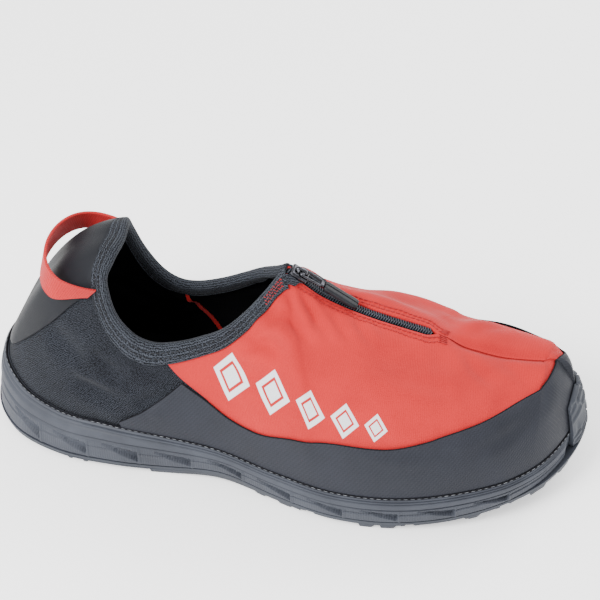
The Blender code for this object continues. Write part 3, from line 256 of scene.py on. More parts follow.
# Soft folds of the upper: side, width and depth in millimetres (a ridge is negative),
# then places along the fold as pairs of foot share and share up the rib
FOLDS = (
    ("both", 5.0, 2.29, ((0.480, 0.92), (0.530, 0.74), (0.560, 0.56))),
    ("both", 4.0, 1.59, ((0.520, 0.93), (0.570, 0.80), (0.615, 0.72))),
    ("both", 4.5, -1.4, ((0.500, 0.95), (0.548, 0.80), (0.590, 0.66))),
    ("lateral", 3.0, 1.22, ((0.610, 0.93), (0.640, 0.84), (0.655, 0.74))),
    ("lateral", 2.6, 1.05, ((0.575, 0.94), (0.600, 0.84), (0.606, 0.76))),
    ("both", 6.0, 1.3, ((0.430, 0.80), (0.490, 0.62), (0.560, 0.48))),
    ("both", 7.0, -1.3, ((0.640, 0.55), (0.720, 0.60), (0.800, 0.62))),
    ("both", 9.0, 1.56, ((0.690, 0.72), (0.770, 0.80), (0.840, 0.84))),
    ("lateral", 5.0, 1.17, ((0.860, 0.52), (0.900, 0.66), (0.940, 0.80))),
    ("lateral", 4.5, 0.91, ((0.905, 0.48), (0.935, 0.60), (0.965, 0.74))),
    ("both", 5.0, 2.29, ((0.150, 0.34), (0.210, 0.40), (0.280, 0.38))),
    ("both", 4.5, -1.87, ((0.130, 0.44), (0.200, 0.50), (0.270, 0.50))),
    ("both", 4.0, 1.87, ((0.180, 0.62), (0.235, 0.60), (0.300, 0.64))),
    ("both", 6.0, 2.08, ((0.060, 0.46), (0.120, 0.52), (0.180, 0.50))),
    ("lateral", 3.5, 0.65, ((0.640, 0.30), (0.720, 0.26), (0.800, 0.30))),
    ("medial", 6.0, 1.3, ((0.600, 0.50), (0.690, 0.44), (0.770, 0.48))),
    ("lateral", 2.2, 0.96, ((0.620, 0.95), (0.636, 0.86), (0.628, 0.74))),
    ("lateral", 2.4, 1.05, ((0.660, 0.95), (0.672, 0.86), (0.690, 0.78))),
    ("lateral", 2.4, 0.88, ((0.700, 0.95), (0.706, 0.88), (0.722, 0.80))),
    ("both", 3.0, 1.22, ((0.560, 0.88), (0.590, 0.76), (0.640, 0.66))),
    ("both", 3.2, 1.04, ((0.830, 0.97), (0.850, 0.84), (0.885, 0.72))),
    ("lateral", 3.4, 0.91, ((0.880, 0.96), (0.905, 0.84), (0.925, 0.70))),
    ("both", 4.5, 1.04, ((0.700, 0.60), (0.770, 0.66), (0.830, 0.62))),
    ("both", 3.4, 1.66, ((0.240, 0.80), (0.290, 0.72), (0.345, 0.74))),
    ("both", 3.6, 1.66, ((0.330, 0.50), (0.300, 0.40), (0.290, 0.28))),
    ("lateral", 3.2, 0.78, ((0.780, 0.34), (0.830, 0.40), (0.880, 0.38))),
    ("lateral", 3.0, 0.78, ((0.830, 0.26), (0.880, 0.34), (0.920, 0.46))),
    ("lateral", 1.8, 0.55, ((0.510, 0.88), (0.540, 0.84), (0.575, 0.83))),
    ("lateral", 1.6, 0.5, ((0.530, 0.91), (0.560, 0.88), (0.590, 0.89))),
    ("lateral", 1.8, -0.45, ((0.500, 0.84), (0.535, 0.79), (0.575, 0.77))),
    ("lateral", 1.7, 0.5, ((0.560, 0.95), (0.585, 0.90), (0.600, 0.82))),
    ("lateral", 1.6, 0.45, ((0.590, 0.95), (0.604, 0.88), (0.600, 0.79))),
    ("lateral", 1.8, 0.5, ((0.470, 0.86), (0.500, 0.78), (0.545, 0.72))),
    ("lateral", 2.0, 0.8, ((0.215, 0.58), (0.250, 0.52), (0.300, 0.52))),
    ("lateral", 2.0, 0.8, ((0.220, 0.52), (0.262, 0.45), (0.312, 0.44))),
    ("lateral", 2.0, -0.7, ((0.218, 0.55), (0.256, 0.485), (0.306, 0.48))),
    ("lateral", 2.4, 0.8, ((0.130, 0.56), (0.165, 0.52), (0.210, 0.53))),
    ("lateral", 2.2, 0.7, ((0.150, 0.70), (0.190, 0.66), (0.235, 0.68))),
    ("medial", 3.0, 0.9, ((0.220, 0.56), (0.260, 0.48), (0.310, 0.46))),
    ("medial", 2.4, 0.7, ((0.510, 0.88), (0.545, 0.82), (0.590, 0.80))),
)

# Rows of arrow lugs: place along the sole, middle across it, and how many there are
LUG_FIELD = (
    (0.599, 0.49, 7), (0.638, 0.49, 7), (0.677, 0.48, 8), (0.712, 0.48, 8), (0.762, 0.47, 7),
    (0.803, 0.47, 7), (0.842, 0.47, 7), (0.902, 0.50, 6), (0.940, 0.51, 6), (0.972, 0.50, 4),
)
# Low lugs on the front ends of the waist strips, in the same rows
FAINT_LUGS = ((0.461, 0.49, 5), (0.500, 0.49, 6), (0.539, 0.49, 7))
# Lugs of the heel: places along and across the sole
HEEL_LUGS = (
    (0.052, 0.787), (0.080, 0.900), (0.081, 0.705), (0.109, 0.835), (0.140, 0.795),
    (0.151, 0.930), (0.149, 0.388), (0.244, 0.924), (0.184, 0.749), (0.218, 0.740),
    (0.254, 0.717), (0.169, 0.583), (0.201, 0.570), (0.235, 0.560), (0.224, 0.090),
    (0.263, 0.096),
)
# Slanted stripes of the heel: along and across at one end, then at the other
STRIPES = (
    (0.020, 0.80, 0.046, 0.30), (0.037, 0.68, 0.077, 0.17), (0.054, 0.60, 0.100, 0.15),
    (0.073, 0.57, 0.130, 0.08), (0.094, 0.52, 0.163, 0.04), (0.117, 0.45, 0.190, 0.04),
)
# Outlines and lines of the tread, as places along and across the sole
PAD = ((0.211, 0.385), (0.297, 0.392), (0.300, 0.250), (0.212, 0.262))
RAIL = (
    (0.202, 0.976), (0.199, 0.889), (0.155, 0.707), (0.135, 0.667), (0.112, 0.659), (0.103, 0.604),
    (0.117, 0.549), (0.203, 0.429), (0.198, 0.343), (0.185, 0.301), (0.187, 0.220), (0.298, 0.201),
)
LONG_GROOVES = (
    ((0.205, 0.825), (0.493, 0.775), (0.567, 0.770)),
    ((0.170, 0.684), (0.496, 0.600), (0.570, 0.590)),
    ((0.311, 0.416), (0.573, 0.419)),
    ((0.314, 0.211), (0.501, 0.240), (0.575, 0.250)),
)
CHANNELS = (
    ((0.562, 0.995), (0.574, 0.50), (0.584, 0.005)),
    ((0.722, 0.995), (0.728, 0.780), (0.738, 0.300), (0.746, 0.005)),
    ((0.860, 0.995), (0.874, 0.545), (0.890, 0.005)),
)
STARS = ((0.727, 0.790), (0.742, 0.286), (0.876, 0.545))
STAR_REACH = (0.0125, 0.0062)

LATERAL, MEDIAL = -1, 1

# Step for slopes, and a distance past any on the shoe
STEP = 1e-3
FAR = 1e9


def columns(table, names):
    """A table's columns by name."""
    rows = np.array(table, float).reshape(-1, len(names))
    return dict(zip(names, rows.T))


def unit(vectors):
    """Vectors scaled to length 1, and those of no length left as they are."""
    size = np.linalg.norm(vectors, axis=-1, keepdims=True)
    return vectors / np.where(size > 1e-12, size, 1)


def ease(share):
    """A share from 0 to 1 that starts and ends gently."""
    share = np.clip(share, 0.0, 1.0)
    return share * share * (3 - 2 * share)


def hump(along, middle, reach):
    """A gentle rise to 1 at the middle, 0 past the reach on both sides."""
    return ease(1 - np.abs(np.asarray(along) - middle) / reach)


def bell(distance, middle, reach):
    """A bell curve of a distance, 1 at its middle."""
    return np.exp(-(((distance - middle) / reach) ** 2))


def matched(*values):
    """The values as flat arrays of one length."""
    return (a.ravel() for a in np.broadcast_arrays(*(np.asarray(v, float) for v in values)))


def run_along(points):
    """Distance of each point from the first one, along the line through them."""
    return np.r_[0, np.cumsum(np.linalg.norm(np.diff(points, axis=0), axis=1))]


def read_at(stops, run, rows):
    """Rows of three values read at distances along their run."""
    return np.stack([np.interp(stops, run, rows[:, k]) for k in range(3)], 1)


def spline(knots, values, at):
    """A smooth curve through rows of values at the knots, read at each place in at."""
    knots, values, at = np.asarray(knots), np.asarray(values), np.atleast_1d(at)
    step = np.diff(knots)
    slope = np.diff(values, axis=0) / step[:, None]
    tangent = np.empty_like(values)
    weight = step[1:, None] / (step[1:] + step[:-1])[:, None]
    tangent[1:-1] = slope[:-1] * weight + slope[1:] * (1 - weight)
    tangent[0], tangent[-1] = slope[0], slope[-1]
    i = np.clip(np.searchsorted(knots, at, side="right") - 1, 0, len(step) - 1)
    h = step[i][:, None]
    u = ((at - knots[i]) / step[i])[:, None]
    return (
        values[i] * (2 * u**3 - 3 * u**2 + 1)
        + values[i + 1] * (3 * u**2 - 2 * u**3)
        + tangent[i] * h * (u**3 - 2 * u**2 + u)
        + tangent[i + 1] * h * (u**3 - u**2)
    )


def local(along, heel, ball):
    """A size that goes from its value at the heel to its value at the ball."""
    return heel + (ball - heel) * ease((np.asarray(along) - 0.30) / 0.30)


def ground(along):
    """Height of the sole's underside line: heel bevel, arch and toe spring."""
    along = np.asarray(along, float)
    return (
        HEEL_BEVEL * np.clip(1 - along / 0.06, 0, 1) ** 1.5
        + ARCH_LIFT * hump(along, 0.43, 0.13)
        + TOE_SPRING * np.clip((along - 0.68) / 0.32, 0, 1) ** 1.8
    )


def parting(along):
    """Height where the tread plate ends and the side of the sole starts."""
    return ground(along) + LUG_DEPTH + TREAD_PLATE


def footbed(along):
    """Height of the floor inside the sole's cup."""
    return ground(along) + local(along, HEEL_FOOTBED, BALL_FOOTBED)


class Outline:
    """The sole's closed outline: lateral side from 0 at the heel to 1 at the toe, medial side back to 2."""

    def __init__(self):
        plan = columns(PLAN, PLAN_COLUMNS)
        along = plan["along"]
        width = local(along, HEEL_WIDTH, BALL_WIDTH)
        x = LENGTH * (along - 0.5)
        height = plan["side_height"] * local(along, HEEL_SOLE_HEIGHT, BALL_SOLE_HEIGHT)
        sides = [np.stack([x, width * plan[s], height, along], 1) for s in ("lateral", "medial")]
        chord = [np.hypot(*np.diff(side[:, :2], axis=0).T) for side in sides]
        knots = np.concatenate([[0], np.cumsum(chord[0] + chord[1])])
        knots /= knots[-1]
        loop = np.concatenate([sides[0], sides[1][-2::-1]])
        loop_knots = np.concatenate([knots, 2 - knots[-2::-1]])
        self.values = np.concatenate([loop[-3:-1], loop, loop[1:3]])
        self.knots = np.concatenate([loop_knots[-3:-1] - 2, loop_knots, loop_knots[1:3] + 2])
        self.plan_knots, self.plan_along = knots, along

    def place(self, along):
        """Place along one side, 0 to 1, for a share of the length."""
        fine = np.linspace(0, 1, 2000)
        return np.interp(along, spline(self.plan_knots, self.plan_along[:, None], fine)[:, 0], fine)

    def read(self, knot):
        """Plan point, side height and share of the length at places round the sole."""
        return spline(self.knots, self.values, knot)


OUTLINE = Outline()
R_TOP, R_MIDDLE, R_CLOSE, R_END, R_TIP = OUTLINE.place(
    [ZIP_TOP_FOOT, ZIP_MIDDLE_FOOT, ZIP_CLOSING_FOOT, ZIP_END_FOOT, TIP_FOOT])


def folded(t):
    """Place along one side, 0 to 1, and which side, for places round the shoe."""
    t = np.asarray(t, float) % 2
    return np.where(t <= 1, t, 2 - t), np.where(t <= 1, LATERAL, MEDIAL)


def ring(t):
    """Outline point, outward direction, side height, share of length, inset and flare."""
    t = np.asarray(t, float).ravel() % 2
    here = OUTLINE.read(t)
    tangent = unit(OUTLINE.read(t + STEP)[:, :2] - OUTLINE.read(t - STEP)[:, :2])
    outward = np.stack([tangent[:, 1], -tangent[:, 0]], 1)
    along = here[:, 3]
    inset = SIDE_INSET + (HEEL_INSET - SIDE_INSET) * ease(1 - along / 0.34)
    inset = inset + (TOE_INSET - SIDE_INSET) * ease((along - 0.88) / 0.12)
    flare = WAIST_FLARE * hump(along, 0.42, 0.25) * (t > 1)
    return here[:, :2], outward, here[:, 2], along, inset, flare


def rib_table():
    """The ribs' knots and rows for one side, with a few repeated past both ends."""
    table = columns(RIBS, RIB_COLUMNS)
    rows = np.stack([table[name] for name in RIB_COLUMNS[1:]], 1)
    knots = OUTLINE.place(table["foot"])
    knots[0], knots[-1] = 0.0, 1.0
    behind = rows[2:0:-1].copy()
    behind[:, 1] *= -1
    ahead = rows[-2:-4:-1]
    return (
        np.concatenate([-knots[2:0:-1], knots, 2 - knots[-2:-4:-1]]),
        np.concatenate([behind, rows, ahead]),
    )


RIB_KNOTS, RIB_VALUES = rib_table()


def skin(t, s):
    """Points of the upper's outer face: places t round the shoe, shares s up the ribs.

    Shares below 0 run down inside the cup of the sole, to -1 on its floor.
    """
    t, s = matched(t, s)
    r, side = folded(t)
    plan, outward, side_top, along, inset, flare = ring(t)
    shares = spline(RIB_KNOTS, RIB_VALUES, r)[:, 4:]
    top, half, swing, rise = spline(RIB_KNOTS, RIB_VALUES, np.minimum(r, R_TIP))[:, :4].T
    half = half * COLLAR_WIDTH / 2
    half = np.where(r > 0.3, np.maximum(half, SLOT_HALF), half)
    half = np.where(r >= R_TOP, SLOT_HALF, half) * np.clip((R_END - r) / (R_END - R_CLOSE), 0, 1)
    tops = np.stack([LENGTH * (top - 0.5), BALL_WIDTH * swing + side * half, COLLAR_HEIGHT * rise], 1)
    foot_plan = plan + outward * (flare - inset)[:, None]
    feet = np.column_stack([foot_plan, side_top])
    tucked = np.column_stack([foot_plan - outward * CLEAR, footbed(along) + CLEAR])
    lean, swell, crown, drop = shares.T
    reach = tops - feet
    first = feet + reach * np.stack([lean, lean, swell], 1)
    second = tops - reach * np.stack([crown, crown, drop], 1)
    up = np.clip(s, 0, 1)[:, None]
    curve = feet * (1 - up) ** 3 + tops * up**3
    curve += 3 * first * up * (1 - up) ** 2 + 3 * second * up**2 * (1 - up)
    down = np.clip(-s, 0, 1)[:, None]
    return curve + (tucked - feet) * down


def skin_normal(t, s):
    """Outward directions of the upper's smooth face."""
    t, s = matched(t, s)
    s = np.clip(s, 0.004, 0.985)
    round_shoe = skin(t + STEP, s) - skin(t - STEP, s)
    upwards = skin(t, s + STEP) - skin(t, s - STEP)
    return unit(np.cross(round_shoe, upwards))


# Steps of the fine grid that lengths are read from: along one side, and up a rib
SIDE_STEPS, SHARE_STEPS = 400, 40
FINE = np.linspace(0, 2, 2 * SIDE_STEPS + 1)
ONE_SIDE = FINE[:SIDE_STEPS + 1]


def rib_lengths():
    """Length of each rib, and the run along the feet of one side's ribs."""
    shares = np.linspace(0, 1, SHARE_STEPS + 1)
    grid = skin(FINE[:, None], shares[None]).reshape(len(FINE), -1, 3)
    return np.linalg.norm(np.diff(grid, axis=1), axis=2).sum(axis=1), run_along(grid[:len(ONE_SIDE), 0])


RIB_LENGTHS, FEET_RUN = rib_lengths()


def rib_length(t):
    return np.interp(np.asarray(t, float) % 2, FINE, RIB_LENGTHS)


def below_edge(t, distance):
    """Share up the rib at a distance below its top."""
    return 1 - distance / rib_length(t)


def skin_uv(t, s):
    """Run along the foot of the shoe and run up the rib, in metres."""
    r = folded(t)[0]
    return np.stack([np.interp(r, ONE_SIDE, FEET_RUN), s * rib_length(t)], -1)


def share_at_height(t, height):
    """Share up each rib where it reaches a height."""
    t, height = np.broadcast_arrays(np.asarray(t, float), np.asarray(height, float))
    shares = np.linspace(0, 1, 2 * SHARE_STEPS + 1)
    z = skin(t.ravel()[:, None], shares[None])[:, 2].reshape(t.size, -1)
    z = np.maximum.accumulate(z + np.arange(len(shares)) * 1e-9, axis=1)
    return np.array([np.interp(h, row, shares) for h, row in zip(height.ravel(), z)])


def away(points, line):
    """Distance of points from a chain of points, and the share along it of the nearest place."""
    best = np.full(len(points), FAR)
    where = np.zeros(len(points))
    count = len(line) - 1
    for k in range(count):
        a, b = line[k], line[k + 1]
        run = b - a
        share = np.clip((points - a) @ run / max(run @ run, 1e-18), 0, 1)
        distance = np.linalg.norm(points - a - share[:, None] * run, axis=1)
        nearer = distance < best
        best = np.where(nearer, distance, best)
        where = np.where(nearer, (k + share) / count, where)
    return best, where


def fold_lines():
    """Each fold's side, width, depth and line of points on the skin."""
    found = []
    for side, width, depth, places in FOLDS:
        places = np.array(places)
        knots = np.linspace(0, 1, len(places))
        smooth = spline(knots, places, np.linspace(0, 1, 13))
        r = OUTLINE.place(smooth[:, 0])
        for which, t in (("lateral", r), ("medial", 2 - r)):
            if side in (which, "both"):
                found.append((which, width / 1000, depth / 1000, skin(t, smooth[:, 1])))
    return found


FOLD_LINES = fold_lines()


def relief(t, s, points):
    """Rise of the cloth over its smooth form: folds, puckers at the zip, the tuck over the toes."""
    r, side = folded(t)
    total = np.zeros(len(points))
    for which, width, depth, line in FOLD_LINES:
        near = (side == (LATERAL if which == "lateral" else MEDIAL)) & (s > 0)
        distance, place = away(points[near], line)
        fade = ease(np.minimum(place, 1 - place) / 0.35)
        trough = bell(distance, 0.0, width) - 0.35 * bell(distance, 2.0 * width, width)
        total[near] -= depth * fade * trough
    below = (1 - s) * rib_length(t)
    zip_part = ease((r - R_TOP * 0.985) / 0.02) * ease((R_END + 0.01 - r) / 0.02)
    run = np.interp(r, ONE_SIDE, FEET_RUN)
    wave = np.sin(run / 0.0085 * 2 * math.pi + 1.3 * np.sin(run / 0.031))
    total += PUCKER[2] * wave * zip_part * bell(below, *PUCKER[:2])
    total -= ZIP_GROOVE[2] * zip_part * bell(below, *ZIP_GROOVE[:2])
    over_toes = ease((r - R_END) / 0.05) * ease((1.25 - r) / 0.3)
    tuck, roll, pouch = (height * bell(below, *where) for *where, height in (TOE_TUCK, TOE_ROLL, TOE_POUCH))
    total += over_toes * (np.where(side == MEDIAL, pouch, roll) - tuck)
    beside_zip = bell(r, R_MIDDLE, 0.055) * bell(below, *ZIP_SWELL)
    total += beside_zip * np.where(side == MEDIAL, ZIP_SWELL_MEDIAL, ZIP_SWELL_LATERAL)
    return total * ease((s + 0.02) / 0.08) * ease(below / 0.0008 + (r > R_END))


def on_skin(t, s, lift):
    """Points over the upper's face, with its folds."""
    t, s, lift = matched(t, s, lift)
    points, normals = skin(t, s), skin_normal(t, s)
    r = folded(t)[0]
    seam = (r >= R_END) & (s > 0.999)
    if seam.any():
        level = skin_normal(r[seam], np.full(seam.sum(), 1.0))
        level[:, 1] = 0
        normals[seam] = unit(level)
    return points + normals * (lift + relief(t, s, points))[:, None]


# Mesh helpers


MERGE_DISTANCE = 2e-6
SHARP_ANGLE = math.radians(42)


def quads(rows, cols, wrap=False):
    """Faces between neighbouring rows and columns of a grid of points."""
    i = np.arange(rows if wrap else rows - 1)[:, None]
    j = np.arange(cols - 1)[None]
    after = (i + 1) % rows
    corners = i * cols + j, after * cols + j, after * cols + j + 1, i * cols + j + 1
    return np.stack(corners, -1).reshape(-1, 4)


def slab(outer, inner, wrap=False, joined=None):
    """A sheet with thickness between two grids of points. joined marks the rows whose top edge is closed."""
    rows, cols = outer.shape[:2]
    total = rows * cols
    faces = [quads(rows, cols, wrap), quads(rows, cols, wrap)[:, ::-1] + total]
    i = np.arange(rows if wrap else rows - 1)
    after = (i + 1) % rows
    open_top = np.ones(len(i), bool) if joined is None else ~(joined[i] & joined[after])
    for col, keep in ((0, np.ones(len(i), bool)), (cols - 1, open_top)):
        a, b = (i * cols + col)[keep], (after * cols + col)[keep]
        faces.append(np.stack([a, b, b + total, a + total], 1))
    if not wrap:
        for row in (0, rows - 1):
            a = row * cols + np.arange(cols - 1)
            faces.append(np.stack([a, a + 1, a + 1 + total, a + total], 1))
    return np.concatenate([outer.reshape(-1, 3), inner.reshape(-1, 3)]), np.concatenate(faces).tolist()


def tube(sections, looped=False):
    """A closed outline carried along a path, with its ends closed or joined."""
    sections = np.asarray(sections)
    count, size = sections.shape[:2]
    s = np.arange(count if looped else count - 1)[:, None]
    p = np.arange(size)[None]
    after, beside = (s + 1) % count, (p + 1) % size
    faces = np.stack([s * size + p, s * size + beside, after * size + beside, after * size + p], -1)
    faces = faces.reshape(-1, 4).tolist()
    if not looped:
        faces += [list(range(size)), [(count - 1) * size + k for k in range(size)]]
    return sections.reshape(-1, 3), faces


def round_sections(path, radius, first, second, sides=8):
    """Round outlines along a path, each in the plane of two directions given for its point."""
    turn = (np.arange(sides) * 2 * math.pi / sides)[None, :, None]
    return path[:, None] + radius * (np.cos(turn) * first[:, None] + np.sin(turn) * second[:, None])


def strip_uv(run, across):
    """Run along a strip and run across it, for each of its points."""
    return np.stack(np.broadcast_arrays(run[:, None], across[None]), -1)


def piece(name, shape, material, uv=None, body="shoe", replaced=()):
    """One closed mesh with its finish, riding a body of the part."""
    points, faces = shape
    mesh = bpy.data.meshes.new(name)
    mesh.from_pydata(np.asarray(points, float).tolist(), [], faces)
    if uv is not None:
        layer = mesh.uv_layers.new(name="skin")
        loops = np.empty(len(mesh.loops), np.int32)
        mesh.loops.foreach_get("vertex_index", loops)
        layer.data.foreach_set("uv", np.asarray(uv, np.float32).reshape(-1, 2)[loops].ravel())
    work = bmesh.new()
    work.from_mesh(mesh)
    bmesh.ops.remove_doubles(work, verts=work.verts, dist=MERGE_DISTANCE)
    bmesh.ops.recalc_face_normals(work, faces=work.faces)
    if work.calc_volume(signed=True) < 0:
        bmesh.ops.reverse_faces(work, faces=work.faces)
    work.to_mesh(mesh)
    work.free()
    mesh.shade_smooth()
    mesh.set_sharp_from_angle(angle=SHARP_ANGLE)
    return shown(name, mesh, material, body, replaced)


def shown(name, mesh, material, body="shoe", replaced=()):
    """Puts a mesh in the scene with its finish, its body and what it stands for."""
    obj = bpy.data.objects.new(name, mesh)
    bpy.context.scene.collection.objects.link(obj)
    mesh.materials.clear()
    mesh.materials.append(material)
    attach(obj, body)
    if replaced:
        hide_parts(*replaced)
    return obj


def graded(count):
    """Shares from 0 to 1 that lie closer together at both ends."""
    edge = np.array([0.006, 0.016, 0.03])
    inner = np.linspace(0, 1, count)[1:-1]
    inner = inner[(inner > edge[-1] * 1.3) & (inner < 1 - edge[-1] * 1.3)]
    return np.concatenate([[0], edge, inner, 1 - edge[::-1], [1]])


def layer(name, t, s, gap, wall, material, slot, replaced=(), joined=None, round_edges=True):
    """A sheet over the upper on a grid of places, its edges a little rounded."""
    rows, cols = t.shape
    lift = np.full(t.shape, gap + wall)
    if round_edges:
        run = np.minimum(np.arange(cols), np.arange(cols)[::-1])
        lift -= wall * 0.75 * np.clip(1 - run / 3.0, 0, 1)[None] ** 2
    outer = on_skin(t, s, lift).reshape(rows, cols, 3)
    inner = on_skin(t, s, gap).reshape(rows, cols, 3)
    uv = skin_uv(t, s).reshape(-1, 2)
    sheet = slab(outer, inner, joined=joined)
    return piece(name, sheet, material, np.concatenate([uv, uv]), replaced=replaced)


# Material helpers


def add(tree, kind, props=None, **inputs):
    """A node with its properties and inputs; an input's value may be another node's socket."""
    made = tree.nodes.new(kind)
    for key, value in (props or {}).items():
        setattr(made, key, value)
    for key, value in inputs.items():
        socket = made.inputs[int(key[1:])] if key[1:].isdigit() else made.inputs[key.replace("_", " ")]
        if isinstance(value, bpy.types.NodeSocket):
            tree.links.new(value, socket)
        else:
            socket.default_value = value
    return made


def maths(tree, operation, a, b=0.0, c=0.0):
    """One sum on values or sockets."""
    return add(tree, "ShaderNodeMath", {"operation": operation}, i0=a, i1=b, i2=c).outputs[0]


def shader_group(name, inputs, outputs):
    """An empty group of nodes with named inputs and outputs."""
    tree = bpy.data.node_groups.new(name, "ShaderNodeTree")
    for label, kind in inputs:
        tree.interface.new_socket(label, in_out="INPUT", socket_type=kind)
    for label, kind in outputs:
        tree.interface.new_socket(label, in_out="OUTPUT", socket_type=kind)
    return tree, tree.nodes.new("NodeGroupInput").outputs, tree.nodes.new("NodeGroupOutput").inputs


FLOAT, VECTOR = "NodeSocketFloat", "NodeSocketVector"


def weave_group():
    """Threads in two directions with uneven thickness: a height, a tone and a slow mottle, each 0 to 1."""
    tree, given, out = shader_group(
        "Weave", (("Vector", VECTOR), ("Pitch", FLOAT), ("Slant", FLOAT), ("Uneven", FLOAT)),
        (("Height", FLOAT), ("Tone", FLOAT), ("Mottle", FLOAT)))
    turned = add(tree, "ShaderNodeVectorRotate", {"rotation_type": "Z_AXIS"},
                 Vector=given["Vector"], Angle=given["Slant"])
    apart = add(tree, "ShaderNodeSeparateXYZ", Vector=turned.outputs[0])
    wobble = add(tree, "ShaderNodeTexNoise", Vector=given["Vector"], Scale=420.0, Detail=2.0)
    sway = maths(tree, "MULTIPLY", maths(tree, "SUBTRACT", wobble.outputs["Fac"], 0.5), given["Uneven"])
    waves = []
    for axis in ("X", "Y"):
        place = maths(tree, "DIVIDE", apart.outputs[axis], given["Pitch"])
        place = maths(tree, "ADD", place, sway)
        waves.append(maths(tree, "SINE", maths(tree, "MULTIPLY", place, 2 * math.pi)))
    both = maths(tree, "MULTIPLY", waves[0], waves[1])
    height = maths(tree, "MULTIPLY_ADD", both, 0.25, 0.5)
    height = maths(tree, "MULTIPLY_ADD", waves[0], 0.25, height)
    specks = add(tree, "ShaderNodeTexNoise", Vector=given["Vector"], Scale=1500.0, Detail=3.0, Roughness=0.7)
    slow = add(tree, "ShaderNodeTexNoise", Vector=given["Vector"], Scale=38.0, Detail=4.0, Roughness=0.6)
    tree.links.new(height, out["Height"])
    tone = add(tree, "ShaderNodeMapRange", i0=specks.outputs["Fac"], i1=0.32, i2=0.68)
    tree.links.new(tone.outputs[0], out["Tone"])
    tree.links.new(slow.outputs["Fac"], out["Mottle"])
    return tree


# How far a lozenge leans, and the share of its size where the thin line runs
LOZENGE_LEAN, LOZENGE_LINE = 0.22, 0.58


def lozenge_group():
    """1 inside a leaning lozenge, with a thin line left out round its core, 0 outside."""
    tree, given, out = shader_group(
        "Lozenge", (("Vector", VECTOR), ("Centre", VECTOR), ("Half_Size", VECTOR)), (("Mask", FLOAT),))
    place = add(tree, "ShaderNodeVectorMath", {"operation": "SUBTRACT"},
                i0=given["Vector"], i1=given["Centre"]).outputs[0]
    turned = add(tree, "ShaderNodeVectorRotate", {"rotation_type": "Z_AXIS"},
                 Vector=place, Angle=LOZENGE_LEAN)
    shares = add(tree, "ShaderNodeVectorMath", {"operation": "DIVIDE"},
                 i0=turned.outputs[0], i1=given["Half_Size"])
    apart = add(tree, "ShaderNodeSeparateXYZ", Vector=shares.outputs[0])
    size = maths(tree, "ADD", *(maths(tree, "ABSOLUTE", apart.outputs[axis]) for axis in ("X", "Y")))
    inside = add(tree, "ShaderNodeMapRange", i0=size, i1=1.02, i2=0.98).outputs[0]
    from_line = maths(tree, "ABSOLUTE", maths(tree, "SUBTRACT", size, LOZENGE_LINE))
    line = add(tree, "ShaderNodeMapRange", i0=from_line, i1=0.07, i2=0.10).outputs[0]
    tree.links.new(maths(tree, "MULTIPLY", inside, line), out["Mask"])
    return tree


def grain_group():
    """Fine and coarse noise for moulded, brushed or spun finishes."""
    tree, given, out = shader_group(
        "Grain", (("Vector", VECTOR), ("Fine", FLOAT), ("Coarse", FLOAT)),
        (("Height", FLOAT), ("Tone", FLOAT)))
    fine = add(tree, "ShaderNodeTexNoise", Vector=given["Vector"], Scale=given["Fine"],
               Detail=4.0, Roughness=0.65)
    coarse = add(tree, "ShaderNodeTexNoise", Vector=given["Vector"], Scale=given["Coarse"],
                 Detail=5.0, Roughness=0.55)
    tree.links.new(fine.outputs["Fac"], out["Height"])
    tone = add(tree, "ShaderNodeMapRange", i0=coarse.outputs["Fac"], i1=0.3, i2=0.7)
    tree.links.new(tone.outputs[0], out["Tone"])
    return tree


WEAVE, LOZENGE, GRAIN = weave_group(), lozenge_group(), grain_group()


def blank(name):
    """A new material with its tree and its shader."""
    material = bpy.data.materials.new(name)
    material.use_nodes = True
    tree = material.node_tree
    return material, tree, tree.nodes["Principled BSDF"]


def blended(tree, share, low, high):
    """A colour between two others."""
    return add(tree, "ShaderNodeMix", {"data_type": "RGBA"}, i0=share, i6=low, i7=high).outputs[2]


def use_group(tree, group, **inputs):
    """A group of nodes with its inputs set; gives its outputs."""
    made = tree.nodes.new("ShaderNodeGroup")
    made.node_tree = group
    for key, value in inputs.items():
        if isinstance(value, bpy.types.NodeSocket):
            tree.links.new(value, made.inputs[key])
        else:
            made.inputs[key].default_value = value
    return made.outputs


def relieve(tree, shader, height, strength, distance):
    """Raises the finish by a height through a bump."""
    bump = add(tree, "ShaderNodeBump", Height=height, Strength=strength, Distance=distance)
    tree.links.new(bump.outputs[0], shader.inputs["Normal"])


def cloth(name, dark, light, pitch, slant, bump, rough, sheen=0.0, uneven=0.6, contrast=0.35,
          shine=0.15, marks=()):
    """Woven cloth in the piece's own run and height."""
    material, tree, shader = blank(name)
    place = add(tree, "ShaderNodeUVMap", {"uv_map": "skin"}).outputs[0]
    weave = use_group(tree, WEAVE, Vector=place, Pitch=pitch, Slant=slant, Uneven=uneven)
    tone = weave["Mottle"]
    for effect in ("Tone", "Height"):
        tone = maths(tree, "MULTIPLY_ADD", maths(tree, "SUBTRACT", weave[effect], 0.5), contrast, tone)
    colour = blended(tree, tone, (*dark, 1), (*light, 1))
    total = None
    for centre, half_size in marks:
        mask = use_group(tree, LOZENGE, Vector=place, Centre=(*centre, 0),
                         Half_Size=(*half_size, 1))["Mask"]
        total = mask if total is None else maths(tree, "MAXIMUM", total, mask)
    if total is not None:
        colour = blended(tree, total, colour, PRINT_WHITE)
    tree.links.new(colour, shader.inputs["Base Color"])
    relieve(tree, shader, weave["Height"], 0.9, bump)
    gloss = add(tree, "ShaderNodeMapRange", i0=weave["Mottle"], i1=0.3, i2=0.7,
                i3=rough - 0.06, i4=rough + 0.06)
    tree.links.new(gloss.outputs[0], shader.inputs["Roughness"])
    shader.inputs["Specular IOR Level"].default_value = shine
    shader.inputs["Sheen Weight"].default_value = sheen
    shader.inputs["Sheen Roughness"].default_value = 0.45
    return material


